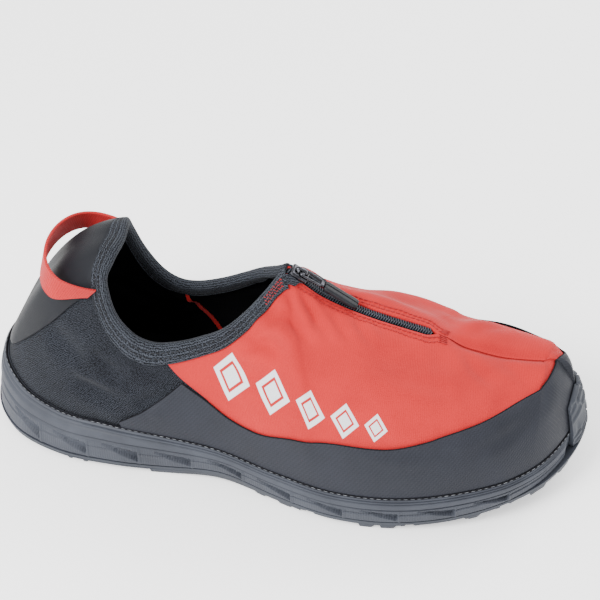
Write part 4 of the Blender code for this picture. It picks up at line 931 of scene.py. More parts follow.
def moulded(name, dark, light, fine, coarse, bump, rough, metallic=0.0, ribs=None, shine=0.3):
    """Moulded, spun or cast finish in the object's own coordinates, with fine ribs where asked."""
    material, tree, shader = blank(name)
    place = add(tree, "ShaderNodeTexCoord").outputs["Object"]
    grain = use_group(tree, GRAIN, Vector=place, Fine=fine, Coarse=coarse)
    tree.links.new(blended(tree, grain["Tone"], (*dark, 1), (*light, 1)), shader.inputs["Base Color"])
    height = grain["Height"]
    if ribs:
        pitch, low, high, depth = ribs
        uv = add(tree, "ShaderNodeUVMap", {"uv_map": "skin"}).outputs[0]
        apart = add(tree, "ShaderNodeSeparateXYZ", Vector=uv)
        wave = maths(tree, "SINE", maths(tree, "MULTIPLY", apart.outputs["X"], 2 * math.pi / pitch))
        below = add(tree, "ShaderNodeMapRange", i0=apart.outputs["Y"], i1=high, i2=high - 0.03).outputs[0]
        above = add(tree, "ShaderNodeMapRange", i0=apart.outputs["Y"], i1=low, i2=low + 0.03).outputs[0]
        band = maths(tree, "MULTIPLY", maths(tree, "MULTIPLY", below, above), depth)
        height = maths(tree, "MULTIPLY_ADD", wave, band, height)
    relieve(tree, shader, height, 0.8, bump)
    gloss = add(tree, "ShaderNodeMapRange", i0=grain["Tone"], i3=rough - 0.05, i4=rough + 0.05)
    tree.links.new(gloss.outputs[0], shader.inputs["Roughness"])
    shader.inputs["Metallic"].default_value = metallic
    shader.inputs["Specular IOR Level"].default_value = shine
    return material


PRINT_WHITE = (0.62, 0.64, 0.66, 1)

# Lozenges on both sides of the red cloth: middle, then half width and half height, in metres of
# skin run and rise
LOZENGES = (
    ((0.163, 0.045), (0.0108, 0.0156)),
    ((0.1865, 0.043), (0.0096, 0.0138)),
    ((0.2075, 0.041), (0.0083, 0.0119)),
    ((0.2255, 0.039), (0.0070, 0.0100)),
    ((0.2405, 0.037), (0.0056, 0.0080)),
)
RED = cloth("softshell_red", (0.30, 0.0075, 0.0085), (0.49, 0.022, 0.022), 0.0009, 0.0, 0.00012, 0.80,
            sheen=0.06, contrast=0.30, marks=LOZENGES)
QUARTER = cloth("quarter_heather", (0.0010, 0.0011, 0.0015), (0.027, 0.030, 0.038), 0.0010, 0.6, 0.00026,
                0.92, sheen=0.03, uneven=1.8, contrast=2.3, shine=0.08)
RAND = cloth("rand_twill", (0.0085, 0.0093, 0.0130), (0.0215, 0.0235, 0.0315), 0.0016, 0.75, 0.00012,
             0.55, uneven=0.3, contrast=0.45)
COUNTER = cloth("counter_smooth", (0.0045, 0.0050, 0.0066), (0.0095, 0.0105, 0.0140), 0.0007, 0.3, 0.00006,
                0.58, shine=0.14)
BINDING = cloth("binding_elastic", (0.0022, 0.0025, 0.0034), (0.044, 0.049, 0.060), 0.0013, 1.5708, 0.00030,
                0.88, sheen=0.03, uneven=1.3, contrast=1.8, shine=0.08)
WEBBING = cloth("loop_webbing", (0.26, 0.006, 0.008), (0.46, 0.022, 0.022), 0.0013, 0.0, 0.00022,
                0.68, sheen=0.05, uneven=0.25, contrast=0.60)
LINING = cloth("lining_black", (0.0010, 0.0010, 0.0013), (0.0040, 0.0040, 0.0048), 0.0012, 0.4, 0.00015,
               0.95, shine=0.05)
FELT = moulded("insole_felt", (0.002, 0.002, 0.0023), (0.008, 0.008, 0.009), 1400.0, 60.0, 0.0003, 0.95,
               shine=0.05)
RUBBER = moulded("sole_rubber", (0.024, 0.027, 0.035), (0.040, 0.045, 0.057), 2600.0, 45.0, 0.00005, 0.56,
                 shine=0.22)
FOAM = moulded("midsole_side", (0.026, 0.029, 0.038), (0.044, 0.049, 0.062), 2600.0, 45.0, 0.00007, 0.56,
               ribs=(0.0013, 0.03, 0.52, 1.0), shine=0.22)
NYLON = moulded("zip_nylon", (0.010, 0.012, 0.018), (0.026, 0.031, 0.044), 1800.0, 300.0, 0.00004, 0.32)
TAPE = moulded("tape_textile", (0.003, 0.003, 0.004), (0.010, 0.011, 0.014), 2200.0, 200.0, 0.00020, 0.90,
               shine=0.1)
METAL = moulded("puller_metal", (0.016, 0.016, 0.019), (0.075, 0.075, 0.085), 900.0, 260.0, 0.00005, 0.24,
                metallic=1.0)
GRIP = moulded("grip_rubber", (0.004, 0.0045, 0.006), (0.010, 0.011, 0.014), 2400.0, 180.0, 0.00006, 0.44,
               shine=0.2)
RED_THREAD = moulded("thread_red", (0.20, 0.004, 0.006), (0.34, 0.014, 0.015), 5200.0, 700.0, 0.00010, 0.75)
DARK_THREAD = moulded("thread_dark", (0.002, 0.002, 0.003), (0.008, 0.008, 0.010), 5200.0, 700.0, 0.00010,
                      0.80)
PALE_THREAD = moulded("thread_pale", (0.040, 0.044, 0.052), (0.22, 0.23, 0.25), 5200.0, 160.0, 0.00010,
                      0.75)
PIPING = moulded("piping_dark", (0.002, 0.002, 0.003), (0.007, 0.007, 0.009), 3000.0, 300.0, 0.00006, 0.75,
                 shine=0.1)


# Repeated small pieces


def seats_tree():
    """Places a unit on every point, turned to the point's own directions, and makes one mesh of them."""
    tree = bpy.data.node_groups.new("Seats", "GeometryNodeTree")
    for label, kind in (("Geometry", "Geometry"), ("Unit", "Object"), ("Finish", "Material")):
        tree.interface.new_socket(label, in_out="INPUT", socket_type="NodeSocket" + kind)
    tree.interface.new_socket("Geometry", in_out="OUTPUT", socket_type="NodeSocketGeometry")
    given = tree.nodes.new("NodeGroupInput").outputs
    out = tree.nodes.new("NodeGroupOutput").inputs
    info = add(tree, "GeometryNodeObjectInfo", Object=given["Unit"])
    read = {}
    for name in ("along", "up", "size"):
        made = add(tree, "GeometryNodeInputNamedAttribute", {"data_type": "FLOAT_VECTOR"}, Name=name)
        read[name] = next(o for o in made.outputs if o.enabled and o.name == "Attribute")
    first = add(tree, "FunctionNodeAlignRotationToVector", {"axis": "X"}, Vector=read["along"])
    second = add(tree, "FunctionNodeAlignRotationToVector", {"axis": "Z", "pivot_axis": "X"},
                 Rotation=first.outputs[0], Vector=read["up"])
    placed = add(tree, "GeometryNodeInstanceOnPoints", Points=given["Geometry"],
                 Instance=info.outputs["Geometry"], Rotation=second.outputs[0], Scale=read["size"])
    real = add(tree, "GeometryNodeRealizeInstances", Geometry=placed.outputs[0])
    painted = add(tree, "GeometryNodeSetMaterial", Geometry=real.outputs[0], Material=given["Finish"])
    tree.links.new(painted.outputs[0], out["Geometry"])
    return tree


SEATS = seats_tree()


def capsule(rings=5, sides=6):
    """A stitch one unit long and wide, flat below."""
    sections = []
    for share in np.linspace(0, 1, rings):
        size = max(math.sin(math.pi * (0.06 + 0.88 * share)) ** 0.5, 0.2)
        turn = np.arange(sides) * 2 * math.pi / sides
        sections.append(np.column_stack([np.full(sides, share - 0.5), np.cos(turn) * size / 2,
                                         np.sin(turn) * size / 2]))
    return tube(sections)


def repeat(name, unit_shape, seats, material, replaced=()):
    """One mesh with the unit on every seat: rows of place, along, up and size."""
    mesh = bpy.data.meshes.new(name + "_unit")
    mesh.from_pydata(np.asarray(unit_shape[0]).tolist(), [], unit_shape[1])
    mesh.shade_smooth()
    unit_object = bpy.data.objects.new(name + "_unit", mesh)
    places, along, up, size = (
        np.concatenate([np.asarray(s[k], float).reshape(-1, 3) for s in seats]) for k in range(4))
    carrier_mesh = bpy.data.meshes.new(name + "_seats")
    carrier_mesh.from_pydata(places.tolist(), [], [])
    for label, values in (("along", along), ("up", up), ("size", size)):
        attribute = carrier_mesh.attributes.new(label, "FLOAT_VECTOR", "POINT")
        attribute.data.foreach_set("vector", values.ravel())
    carrier = bpy.data.objects.new(name + "_seats", carrier_mesh)
    for o in (unit_object, carrier):
        bpy.context.scene.collection.objects.link(o)
    modifier = carrier.modifiers.new("Seats", "NODES")
    modifier.node_group = SEATS
    values = {"Unit": unit_object, "Finish": material}
    for item in SEATS.interface.items_tree:
        if item.in_out == "INPUT" and item.name in values:
            modifier[item.identifier] = values[item.name]
    bpy.context.view_layer.update()
    graph = bpy.context.evaluated_depsgraph_get()
    made = bpy.data.meshes.new_from_object(carrier.evaluated_get(graph))
    made.name = name
    for label in ("along", "up", "size"):
        if label in made.attributes:
            made.attributes.remove(made.attributes[label])
    for o in (unit_object, carrier):
        bpy.data.objects.remove(o, do_unlink=True)
    return shown(name, made, material, replaced=replaced)


def seats_along(points, normals, pitch, size, turn=0.0):
    """Seats at a steady pitch along a path, turned about its normal by an angle."""
    run = run_along(points)
    count = max(int(run[-1] / pitch), 1)
    stops = (np.arange(count) + 0.5) * run[-1] / count
    at, up = read_at(stops, run, points), unit(read_at(stops, run, normals))
    along = unit(read_at(stops + pitch / 4, run, points) - read_at(stops - pitch / 4, run, points))
    beside = np.cross(up, along)
    along = along * math.cos(turn) + beside * math.sin(turn)
    return at, along, up, np.broadcast_to(size, at.shape)


def stitched(t, s, lift, pitch=STITCH_PITCH, size=STITCH, turn=0.0):
    """Seats for a row of stitches through places on the upper."""
    return seats_along(on_skin(t, s, lift), skin_normal(t, s), pitch, size, turn)


# Upper


def join_line():
    """Place round the shoe of the seam between vamp and quarter, for a share up the rib."""
    table = columns(JOIN, JOIN_COLUMNS)
    order = np.argsort(table["share"])
    share, foot = table["share"][order], table["foot"][order]
    return lambda s: OUTLINE.place(np.interp(s, share, foot))


def build_upper():
    """The red vamp, the heel's soft quarter and the lining behind both."""
    join = join_line()
    shares = np.concatenate([np.linspace(0, 0.9, 50), np.linspace(0.91, 1, 14)])
    w = np.linspace(0, 1, 431)[:, None]
    low = join(shares)[None]
    t = low + (2 - 2 * low) * w
    s = np.broadcast_to(shares[None], t.shape)
    joined = folded(t[:, -1])[0] >= R_END
    layer("vamp", t, s, -CLOTH_WALL, CLOTH_WALL, RED, "softshell", ("upper",), joined, round_edges=False)
    t = -low + 2 * low * np.linspace(0, 1, 241)[:, None]
    s = np.broadcast_to(shares[None], t.shape)
    layer("heel_quarter", t, s, -CLOTH_WALL, CLOTH_WALL, QUARTER, "softshell", round_edges=False)
    t = np.linspace(0, 2, 281)[:-1, None]
    s = np.concatenate([[-1, -0.5, -0.1], np.linspace(0, 1, 30)])[None]
    t, s = np.broadcast_arrays(t, s)
    outer = on_skin(t, s, -LINING_FACE).reshape(*t.shape, 3)
    inner = on_skin(t, s, -UPPER_WALL).reshape(*t.shape, 3)
    uv = skin_uv(t, s).reshape(-1, 2)
    sheet = slab(outer, inner, wrap=True, joined=folded(t[:, -1])[0] >= R_END)
    piece("lining", sheet, LINING, np.concatenate([uv, uv]))


def rand_top(t):
    """Share up the rib of the rand's top edge."""
    table = columns(RAND_TOP, RAND_COLUMNS)
    r, knots = folded(t)[0], OUTLINE.place(table["foot"])
    peak = int(table["height"][:RAND_REAR_ROWS].argmax())
    front = spline(knots[peak:], table["height"][peak:, None], r)[:, 0]
    rear = np.interp(r, knots[: peak + 1], table["height"][: peak + 1])
    front = front - 0.045 * hump(r, 0.90, 0.10) * (folded(t)[1] == MEDIAL)
    return share_at_height(t, np.where(r < knots[peak], rear, front) * COLLAR_HEIGHT)


def build_rand():
    """The coated mudguard, with dark piping along its top edge."""
    start = float(OUTLINE.place(RAND_TOP[0][0]))
    t = np.linspace(start, 2 - start, 461)
    low = share_at_height(t, ring(t)[2] + CLEAR)
    high = np.maximum(rand_top(t), low + 0.02)
    w = graded(26)[None]
    grid = low[:, None] + (high - low)[:, None] * w
    layer("rand", np.broadcast_to(t[:, None], grid.shape), grid, RAND_GAP, RAND_WALL, RAND, "rand_coated",
          ("rand",))
    centre = on_skin(t, high, RAND_GAP + RAND_WALL * 0.35)
    normal = skin_normal(t, high)
    ahead = unit(np.gradient(centre, axis=0))
    sections = round_sections(centre, PIPING_RADIUS, normal, np.cross(normal, ahead))
    piece("rand_piping", tube(sections), PIPING)


def build_counter():
    """The smooth panel round the heel; returns the stitches along its two front edges."""
    reach = float(OUTLINE.place(COUNTER_FOOT))
    t = np.linspace(-reach, reach, 221)
    edge = columns(COUNTER_EDGE, COUNTER_COLUMNS)
    shares = np.linspace(0, 1, 121)
    grid = skin(t[:, None], shares[None]).reshape(len(t), -1, 3)
    limit = np.interp(grid[:, :, 0] / LENGTH + 0.5, edge["along"], edge["height"]) * COLLAR_HEIGHT
    over = grid[:, :, 2] > limit
    high = below_edge(t, BINDING_WIDTH - CLEAR * 4)
    low = np.where(over.any(axis=1), shares[over.argmax(axis=1)], high - 0.02)
    low = np.maximum(low, share_at_height(t, ring(t)[2] + 2 * CLEAR))
    low = np.convolve(np.pad(low, 2, mode="edge"), np.ones(5) / 5, mode="valid")
    w = graded(30)[None]
    s = low[:, None] + np.maximum(high - low, 0.02)[:, None] * w
    layer("heel_counter", np.broadcast_to(t[:, None], s.shape), s, CLEAR, COUNTER_WALL, COUNTER,
          "counter_coated", ("heel_counter",))
    rows = []
    for side in (0, -1):
        shares = np.linspace(s[side, 0], s[side, -1], 60)
        rows.append(stitched(np.full(60, t[side]), shares, CLEAR))
    return rows


# The binding: how high its fold rises, how deep stitches press it, and the row whose outline
# its weave is measured on
BINDING_CREST = 0.0015
STITCH_SINK = 0.00025
SAMPLE_ROW = 200


def build_binding():
    """The tape folded over the collar's edge; returns the rows of stitches along it."""
    t = np.linspace(-R_TOP, R_TOP, 421)
    gap, wall = 1.5 * CLEAR, BINDING_WALL
    top, normal = skin(t, 1.0), skin_normal(t, np.full(len(t), 1.0))
    rise = unit(top - skin(t, np.full(len(t), 0.97)))
    over = gap + wall
    sunk = -UPPER_WALL - 1.5 * gap
    pressed = over - STITCH_SINK
    outline = []

    def follow(*rows):
        for below, lift in rows:
            outline.append(on_skin(t, below_edge(t, below * BINDING_WIDTH), lift))

    follow((1.0, gap), (1.0, gap + wall * 0.6), (0.95, over), (0.8, over), (0.62, pressed),
           (0.5, over), (0.34, over), (0.26, pressed), (0.12, over))
    half = (over - sunk + wall) / 2
    middle = (over + sunk - wall) / 2
    for angle in np.linspace(0, math.pi, 9):
        high = math.sin(angle) * (BINDING_CREST + 0.0004 * math.sin(angle)) + gap
        outline.append(top + normal * (middle + half * math.cos(angle)) + rise * high)
    follow((0.2, sunk - wall), (0.4, sunk - wall + 0.0002), (0.6, sunk - wall), (0.73, sunk - wall),
           (0.75, sunk), (0.4, sunk), (0.1, sunk))
    outline += [top + normal * lift + rise * gap for lift in (sunk, gap)]
    sections = np.stack(outline, 1)
    uv = strip_uv(run_along(top), run_along(sections[SAMPLE_ROW]))
    piece("collar_binding", tube(sections), BINDING, uv, replaced=("collar_binding",))
    rows = [stitched(t, below_edge(t, BINDING_WIDTH * share), over - 0.0002) for share in (0.28, 0.62)]
    inside = below_edge(t, 0.45 * BINDING_WIDTH)
    places = on_skin(t, inside, sunk - wall + 0.0001)
    rows.append(seats_along(places, -skin_normal(t, inside), STITCH_PITCH, STITCH))
    return rows


def build_loop():
    """Webbing loop behind the heel."""
    r = float(OUTLINE.place(LOOP_FOOT))
    lift = 2 * CLEAR + COUNTER_WALL + LOOP_WALL / 2
    ends_t = np.array([r, 2 - r])
    ends = on_skin(ends_t, below_edge(ends_t, BINDING_WIDTH + LOOP_WIDTH / 2), lift)
    middle, half = (ends[0] + ends[1]) / 2, (ends[1] - ends[0]) / 2
    half[0] = half[2] = 0
    back = np.array([-math.cos(LOOP_PITCH), 0.0, math.sin(LOOP_PITCH)])
    wide = np.array([math.sin(LOOP_PITCH), 0.0, math.cos(LOOP_PITCH)])
    sewn = skin(ends_t, 0.9) - skin(ends_t, 0.7)
    forward = float(OUTLINE.place(LOOP_TUCK))
    under_t = np.array([forward, 2 - forward])
    tuck = below_edge(under_t, BINDING_WIDTH * 0.85 + LOOP_WIDTH * 0.06)
    under = on_skin(under_t, tuck, lift - LOOP_WALL * 0.2)
    sections, centres = [], []
    profile = [(-1, -0.5), (-0.94, -1), (-0.5, -1), (0, -1), (0.5, -1), (0.94, -1), (1, -0.5),
               (1, 0.5), (0.94, 1), (0.5, 1), (0, 1), (-0.5, 1), (-0.94, 1), (-1, 0.5)]
    for angle in np.linspace(0, math.pi, 97):
        free = math.sin(angle)
        centre = middle - half * math.cos(angle) * (1 + LOOP_BULGE * free) + back * LOOP_REACH * free
        end = 0 if angle < math.pi / 2 else 1
        centre = centre + (under[end] - ends[end]) * (1 - ease(free / 0.55))
        across = unit(unit(sewn[end]) * (1 - free) + wide * free)
        span = LOOP_WIDTH / 2 * (0.52 + 0.48 * float(ease(free / 0.5)))
        path = half * math.sin(angle) + back * LOOP_REACH * math.cos(angle)
        out = unit(np.cross(path, across))
        sections.append([centre + across * span * a + out * LOOP_WALL / 2 * b for a, b in profile])
        centres.append(centre)
    uv = strip_uv(run_along(centres), np.array([a for a, b in profile]) * LOOP_WIDTH / 2)
    piece("pull_loop", tube(sections), WEBBING, uv, replaced=("pull_loop",))


# Zip


def zip_line():
    """Centre line of the zip from the collar to its lower end, and its normals."""
    r = np.linspace(R_TOP, R_END, 90)
    points = (skin(r, 1.0) + skin(2 - r, 1.0)) / 2
    normals = skin_normal(r, 1.0) + skin_normal(2 - r, 1.0)
    normals[:, 1] = 0
    return points, unit(normals)


ZIP_POINTS, ZIP_NORMALS = zip_line()
ZIP_RUN = run_along(ZIP_POINTS)


def on_zip(distance, lift):
    """Points over the zip's centre line at distances from its top end, and their normals."""
    distance = np.atleast_1d(distance)
    normal = unit(read_at(distance, ZIP_RUN, ZIP_NORMALS))
    return read_at(distance, ZIP_RUN, ZIP_POINTS) + normal * lift, normal


def build_zip():
    """The zip's tape and teeth in the slot; returns the red stitches beside and below it."""
    stop = ZIP_RUN[-1] - ZIP_END_MARGIN
    middle, normal = on_zip(np.linspace(0.0004, stop, 60), 0.0)
    half = SLOT_HALF - CLEAR * 0.6
    outline = ((-half, -0.0016), (half, -0.0016), (half, -0.0008), (half * 0.5, -0.0003),
               (-half * 0.5, -0.0003), (-half, -0.0008))
    sections = np.stack([middle + ACROSS * a + normal * b for a, b in outline], 1)
    piece("zip_bed", tube(sections), TAPE)
    seats = []
    for side in (-1, 1):
        runs = np.arange(FIRST_TOOTH + (side > 0) * TOOTH_PITCH / 2, stop, TOOTH_PITCH)
        at, up = on_zip(runs, COIL_PROUD * 0.15)
        at = at + ACROSS * side * TOOTH_OFFSET
        along = unit(ACROSS * side - unit(np.cross(ACROSS, up)) * TOOTH_LEAN)
        seats.append((at, np.broadcast_to(along, at.shape), up, np.broadcast_to(TOOTH, at.shape)))
    repeat("zip_teeth", capsule(6, 8), seats, NYLON, replaced=("zip_coil",))
    rows = []
    beside = np.linspace(R_TOP + 0.004, R_END + 0.004, 120)
    for below in ZIP_ROWS:
        for t in (beside, 2 - beside):
            rows.append(stitched(t, below_edge(t, below), THREAD_LIFT, size=ZIP_STITCH))
    for below in np.linspace(-0.004, 0.004, 9):
        end = R_END + 0.007 if below >= 0 else 2 - R_END - 0.007
        t = end + np.linspace(-0.006, 0.006, 8)
        s = below_edge(t, abs(below) + 0.0003)
        rows.append(stitched(t, s, THREAD_LIFT, END_STITCH_PITCH, END_STITCH))
    return rows


def tack_rows():
    """Red stitches that close the binding in front, slanted one way and the other."""
    rows = []
    lift = 1.5 * CLEAR + BINDING_WALL - 0.0001
    for k, place in enumerate(np.linspace(R_TOP - 0.048, R_TOP - 0.014, 9)):
        t = np.full(12, place)
        s = below_edge(t, np.linspace(0.12, 0.82, 12) * BINDING_WIDTH)
        rows.append(stitched(t, s, lift, TACK_PITCH, TACK, TACK_LEAN if k % 2 == 0 else -TACK_LEAN))
    return rows


def build_garage():
    """Soft cloth flaps that carry the collar's binding round the slider, one on each side of the zip."""
    u = np.linspace(0, 1, 60)
    for name, side, length, wide in (("zip_garage_lateral", LATERAL, 0.17, 0.0052),
                                     ("zip_garage_medial", MEDIAL, 0.40, 0.0115)):
        r = R_TOP + (R_END - R_TOP) * (length * u - 0.015)
        t = r if side == LATERAL else 2 - r
        width = wide * (1 - ease((u - 0.45) / 0.55)) + 0.0004
        high = below_edge(t, 0.0002)
        low = high - width / rib_length(t)
        s = low[:, None] + (high - low)[:, None] * graded(14)[None]
        layer(name, np.broadcast_to(t[:, None], s.shape), s, CLEAR, BINDING_WALL * 0.8, BINDING,
              "binding_elastic")


def build_foot_seam():
    """Dark piping in the corner between the upper and the rim of the sole, with its pale thread."""
    t = np.linspace(0, 2, 601)[:-1]
    outward, side_top = ring(t)[1:3]
    radius = FOOT_SEAM_RADIUS
    centre = on_skin(t, 0.004, RAND_GAP + RAND_WALL + radius * 0.2)
    centre[:, 2] = side_top + radius * 0.5
    flat = np.column_stack([outward, np.zeros(len(t))])
    sections = round_sections(centre, radius, flat, np.broadcast_to((0.0, 0.0, 1.0), flat.shape))
    piece("foot_seam", tube(sections, looped=True), PIPING)
    line = centre + flat * radius * 0.8 + [0, 0, radius * 0.4]
    seats = [seats_along(line, flat, FOOT_STITCH_PITCH, FOOT_STITCH)]
    repeat("foot_stitches", capsule(), seats, PALE_THREAD)


def build_inner_tape():
    """Red tape over the seam inside, between the vamp and the quarter."""
    shares = np.linspace(0.12, 0.93, 60)
    for name, flip in (("inner_tape_lateral", 1), ("inner_tape_medial", -1)):
        middle = OUTLINE.place(INNER_SEAM[0] + (INNER_SEAM[1] - INNER_SEAM[0]) * shares) * flip
        t = middle[:, None] + np.linspace(-1, 1, 7)[None] * INNER_TAPE_REACH
        s = np.broadcast_to(shares[:, None], t.shape)
        layer(name, t % 2, s, -UPPER_WALL - 2 * CLEAR, INNER_TAPE_WALL, RED, "softshell", round_edges=False)


def rounded_block(centre, axes, sizes, bevel, taper=1.0):
    """Points and faces of a box with rounded edges, its upper face narrowed by taper."""
    work = bmesh.new()
    bmesh.ops.create_cube(work, size=1.0)
    for vert in work.verts:
        if vert.co.z > 0:
            vert.co.x *= taper
            vert.co.y *= taper
        vert.co = Vector([c * size for c, size in zip(vert.co, sizes)])
    bmesh.ops.bevel(work, geom=list(work.edges), offset=bevel, segments=3, profile=0.6, affect="EDGES")
    frame_axes = np.array(axes)
    points = np.array([v.co for v in work.verts]) @ frame_axes + centre
    faces = [[v.index for v in f.verts] for f in work.faces]
    work.free()
    return points, faces


def merged(shapes):
    """Several shapes as one list of points and faces."""
    points, faces = [], []
    for shape_points, shape_faces in shapes:
        start = sum(len(p) for p in points)
        points.append(np.asarray(shape_points))
        faces += [[i + start for i in f] for f in shape_faces]
    return np.concatenate(points), faces


def wire(path, thick, sides, looped=False, flat=1.0):
    """A round wire along a path that lies in one plane, wider across that plane by flat."""
    path = np.asarray(path)
    ahead = np.roll(path, -1, 0) - np.roll(path, 1, 0) if looped else np.gradient(path, axis=0)
    plane = unit(np.cross(path[1] - path[0], path[len(path) // 2] - path[0]))
    side = np.cross(unit(ahead), plane)
    across = np.broadcast_to(flat * plane, side.shape)
    return tube(round_sections(path, thick / 2, side, across, sides), looped)


def build_slider():
    """The slider: a plate over the teeth, a flange on each side and the bridge over the puller's pin."""
    up = np.cross(ALONG_SLIDER, ACROSS)
    base = on_zip(SLIDER_SETBACK, COIL_PROUD + 2 * CLEAR)[0][0]
    axes = (ALONG_SLIDER, ACROSS, up)
    plate = rounded_block(base + up * SLIDER_PLATE / 2, axes,
                          (SLIDER_LENGTH, SLIDER_WIDTH, SLIDER_PLATE), 0.0006, 0.88)
    flanges = [rounded_block(base + up * 0.0002 + ACROSS * side * (SLIDER_WIDTH / 2 - 0.0006), axes,
                             (SLIDER_LENGTH * 0.8, 0.0011, 0.0018), 0.0004) for side in (-1, 1)]
    span, rise = SLIDER_LENGTH * 0.62, PIN_DIAMETER + 4 * CLEAR
    arch = []
    for angle in np.linspace(0, math.pi, 21):
        along, high = -math.cos(angle), math.sin(angle) ** 0.6
        arch.append(base + ALONG_SLIDER * along * span / 2 + up * (SLIDER_PLATE * 0.7 + high * rise))
    bridge = wire(arch, PIN_DIAMETER, 8, flat=1.6)
    piece("zip_slider", merged([plate, *flanges, bridge]), METAL, replaced=("zip_slider",))


def build_link():
    """The puller's wire loop, with the eye at its front that the grip holds."""
    up = np.cross(LIE, ACROSS)
    half = LINK_WIDTH / 2 - PIN_DIAMETER / 2
    front = LINK_LENGTH - PIN_DIAMETER
    corner, path = LINK_CORNER, []
    for along, across, start in ((corner, -half + corner, 180), (front - corner, -half * 0.75 + corner, 270),
                                 (front - corner, half * 0.75 - corner, 0), (corner, half - corner, 90)):
        for degrees in np.linspace(start, start + 90, 7):
            a = math.radians(degrees)
            path.append(HINGE + LIE * (along + corner * math.cos(a))
                        + ACROSS * (across + corner * math.sin(a)))
    link = wire(path, PIN_DIAMETER, 10, looped=True)
    eye = rounded_block(HINGE + LIE * (front + 0.0002), (LIE, ACROSS, up), LINK_EYE, 0.0005)
    piece("puller_link", merged([link, eye]), METAL, body="puller",
          replaced=("puller_link",))


def build_grip():
    """The soft grip moulded on the link, with a groove along its upper face."""
    up = np.cross(LIE, ACROSS)
    sections = []
    for share in np.concatenate([[0, 0.01, 0.03], np.linspace(0.06, 0.94, 18), [0.97, 0.99, 1]]):
        centre = HINGE + LIE * (LINK_LENGTH + CLEAR + (GRIP_LENGTH - 2 * CLEAR) * share)
        size = 0.82 + 0.18 * ease(min(share, 1 - share) / 0.06)
        waist = 1 - 0.04 * math.sin(math.pi * share) ** 2
        across, deep = ACROSS * GRIP_WIDTH / 2 * waist * size, up * GRIP_THICKNESS / 2 * size
        sections.append([centre + across * a + deep * b for a, b in GRIP_OUTLINE])
    piece("puller_grip", tube(sections), GRIP, body="puller", replaced=("puller_grip",))


# Sole


def bumper_mask(edge, along):
    """1 where the bumper covers the sole's side, 0 elsewhere."""
    across = np.abs(edge[:, 1] - OUTLINE.read([1.0])[0, 1])
    return ease((BUMPER_HALF_WIDTH * 1.35 - across) / (BUMPER_HALF_WIDTH * 0.3)) * (along > 0.85)


def side_points(t, share, out):
    """Points of the sole's side at a share of its height, standing out by a relief in metres."""
    t, share, out = matched(t, share, out)
    edge, outward, side_top, along, inset, flare = ring(t)
    low = parting(along)
    height = low + (side_top - low) * share
    up = height / side_top
    mask = bumper_mask(edge, along)
    lean = up**1.4 * (1 - mask) + mask
    stand = flare * ease(up / FLARE_TOP) - (inset - RIM_WIDTH) * lean
    stand = stand + out * (1 - mask)
    return np.column_stack([edge + outward * stand[:, None], height])


# Notches in the side of the sole: share of a side left plain at each end, where a notch starts
# in its own stretch and how much of it it takes
NOTCH_MARGIN, NOTCH_START, NOTCH_SHARE = 0.10, 0.12, 0.68


def build_midsole():
    """The cup of the sole: its stepped and notched side, the rim and the floor inside."""
    t = np.linspace(0, 2, 1401)[:-1]
    table = columns(SIDE_WALL, SIDE_COLUMNS)
    shares = np.unique(np.concatenate([table["up"], np.linspace(0.03, 0.52, 20)]))
    along = ring(t)[3]
    r = folded(t)[0]
    half = np.linspace(0, 1, 701)
    run = run_along(OUTLINE.read(half)[:, :2])
    place = np.interp(r, half, run)
    count = int(run[-1] * (1 - 2 * NOTCH_MARGIN) / NOTCH_PITCH)
    cell = (place - run[-1] * NOTCH_MARGIN) / NOTCH_PITCH
    within = (cell % 1.0 - NOTCH_START) / NOTCH_SHARE
    cut = (cell > 0) & (cell < count)
    out = np.interp(shares, table["up"], table["out"])[None] * SIDE_RELIEF * np.ones((len(t), 1))
    fade = ease((along - 0.5) / 0.15)[:, None]
    lower_line = bell(shares, 0.34, 0.03)[None]
    out += lower_line * (1 - fade) * 0.5 * SIDE_RELIEF
    q = np.clip(within, 0, 1)[:, None]
    bottom = 0.46 - 0.36 * q
    top = bottom + 0.04 + 0.25 * q
    inside = ease((shares[None] - bottom) / 0.03 + 0.5) * ease((top - shares[None]) / 0.03 + 0.5)
    ends = (ease(within / 0.05) * ease((1 - within) / 0.03) * cut)[:, None]
    out -= NOTCH_DEPTH * (0.25 + 0.75 * q) * inside * ends
    lip = (bell(within, 1.04, 0.03) * cut)[:, None] * ease((0.5 - shares) / 0.05)[None]
    out += 0.0004 * lip
    wall = side_points(t[:, None], shares[None], out).reshape(len(t), len(shares), 3)
    edge, outward, side_top, along, inset, flare = ring(t)
    foot = edge + outward * (flare - inset)[:, None] + outward * CLEAR
    rim = np.column_stack([foot, side_top])[:, None]
    floor = np.column_stack([foot, footbed(along)])[:, None]
    grid = np.concatenate([wall, rim, floor], axis=1)
    rows, cols = grid.shape[:2]
    faces = quads(rows, cols, wrap=True).tolist()
    middle = rows // 2
    for col in (0, cols - 1):
        for k in range(middle):
            corners = (k, k + 1, (rows - k - 1) % rows, (rows - k) % rows)
            faces.append(list(dict.fromkeys(c * cols + col for c in corners)))
    uv = strip_uv(place, np.concatenate([shares, [1.02, 1.2]]))
    piece("midsole", (grid.reshape(-1, 3), faces), FOAM, uv, replaced=("midsole",))


def tread_plan(along, across):
    """Plan points of the tread from shares along it and across it, lateral 0 to medial 1."""
    along, across = matched(along, across)
    r = OUTLINE.place(along)
    lateral, medial = OUTLINE.read(r)[:, :2], OUTLINE.read(2 - r)[:, :2]
    return lateral + (medial - lateral) * across[:, None]


def lug_shape(points, centre, length, width):
    """Signed distance from an arrow-shaped lug that points to the toe, and from its slanted front."""
    x, y = (points - centre).T
    side = np.abs(y) - width / 2
    slope = 0.62
    front = (x + np.abs(y) * slope - length / 2) / math.hypot(1, slope)
    tail = -(x + length / 2 - np.clip(0.16 * (width / 2 - np.abs(y)), 0, 1))
    return np.maximum(np.maximum(side, front), tail), front


